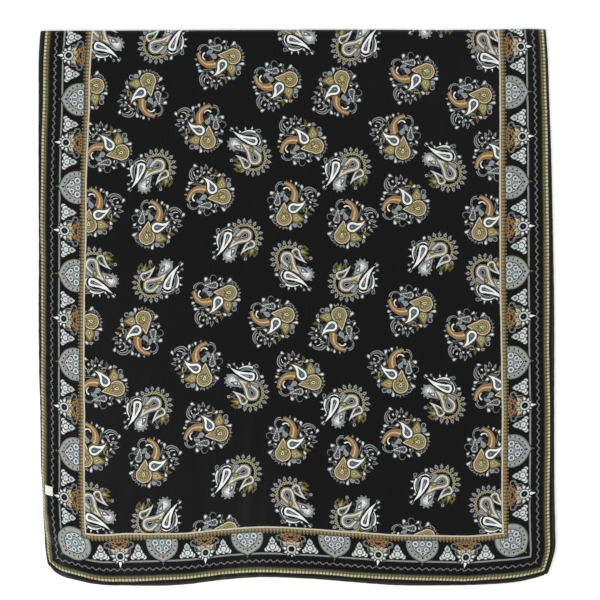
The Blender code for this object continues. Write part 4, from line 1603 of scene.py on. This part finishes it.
def tape_material():
    """White label tape: ribs along and across it, and a faint cloudiness."""
    made, shader = new_material("Label tape")
    place = map_place(shader, "tape")
    axes = axes_of(place)
    weave = multiply(waves(axes[1], 0.35), waves(axes[0], 0.30))
    cloud = noise(place, 0.6, 3.0)[0]
    colour = blend(cloud, ink(214, 212, 208), ink(244, 243, 240))
    height = multiply_add(weave, 0.2, cloud)
    finish(shader, colour, multiply_add(cloud, 0.2, 0.45), height, 0.3, 0.0002, {})
    return made


rolled_satin = hem_material()
for piece in hems.values():
    piece.data.materials.append(rolled_satin)
stitches.data.materials.append(thread_material("Black thread", ink(16, 16, 17), ink(44, 43, 44)))
label.data.materials.append(tape_material())
white_thread = thread_material("White thread", ink(200, 198, 192), ink(240, 239, 235))
label_thread.data.materials.append(white_thread)
print("finishes", rolled_satin.name, "and", white_thread.name)

# %% [markdown]
# ## Floor and light
# The floor is pale and glows a little, like a light table, which thins the shadow round the cloth.
# The lights are large and soft.  Black satin mirrors whatever hangs over it, so they stand low at
# the sides, outside the way the camera sees reflected, and the left one is stronger.

# %% Studio
FLOOR_SIZE, FLOOR_DOWN = 12.0, 0.0003
floor_points = np.array([(-1, -1, 0), (1, -1, 0), (1, 1, 0), (-1, 1, 0)]) * FLOOR_SIZE / 2
floor_points[:, 2] = -FLOOR_DOWN
floor = mesh_from("floor", floor_points, np.array([[0, 1, 2, 3]]))
floor_paint, floor_shader = new_material("Pale floor")
floor_cloud = noise(object_place(floor_shader), 6.0, 4.0)[0]
feed(floor_shader, {
    "Base Color": blend(floor_cloud, ink(250, 250, 250), ink(253, 253, 253)),
    "Roughness": 0.9,
    "Specular IOR Level": 0.1,
    "Emission Color": (1.0, 1.0, 1.0, 1.0),
    "Emission Strength": 0.22,
})
floor.data.materials.append(floor_paint)

# name, place, size, watts
LIGHTS = (
    ("left_softbox", (-1.9, -0.7, 1.35), 1.5, 47.0),
    ("right_softbox", (2.0, 0.5, 1.5), 1.5, 23.0),
    ("back_softbox", (0.2, 2.1, 1.5), 1.4, 24.0),
    ("near_softbox", (-0.2, -2.1, 1.4), 1.4, 26.0),
)


def add_light(name, place, size, watts):
    """A square area light that looks at the middle of the table."""
    lamp = bpy.data.lights.new(name, "AREA")
    lamp.size, lamp.energy = size, watts
    holder = bpy.data.objects.new(name, lamp)
    x, y, z = holder.location = place
    holder.rotation_euler = (math.atan2(math.hypot(x, y), z), 0.0, math.atan2(-y, -x) - math.pi / 2)
    bpy.context.scene.collection.objects.link(holder)


for row in LIGHTS:
    add_light(*row)

world = bpy.data.worlds.new("Studio")
world.use_nodes = True
feed(world.node_tree.nodes["Background"], {"Color": (1.0, 1.0, 1.0, 1.0), "Strength": 0.12})
bpy.context.scene.world = world
bpy.context.scene.view_settings.view_transform = "Standard"
print(len(LIGHTS), "soft lights")

# %% [markdown]
# ## Join the looks to the part
# Every piece rides on the one body, and the solids of the part that the pieces stand for are
# hidden.

for piece in (cloth, *hems.values(), stitches, label, label_thread):
    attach(piece, "root")
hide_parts("front_half", "back_half")
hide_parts("front_left_hem", "back_left_hem")
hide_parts("front_right_hem", "back_right_hem")
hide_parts("front_end_hem")
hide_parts("back_end_hem")
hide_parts("side_label")
print("pieces", 4 + len(hems))
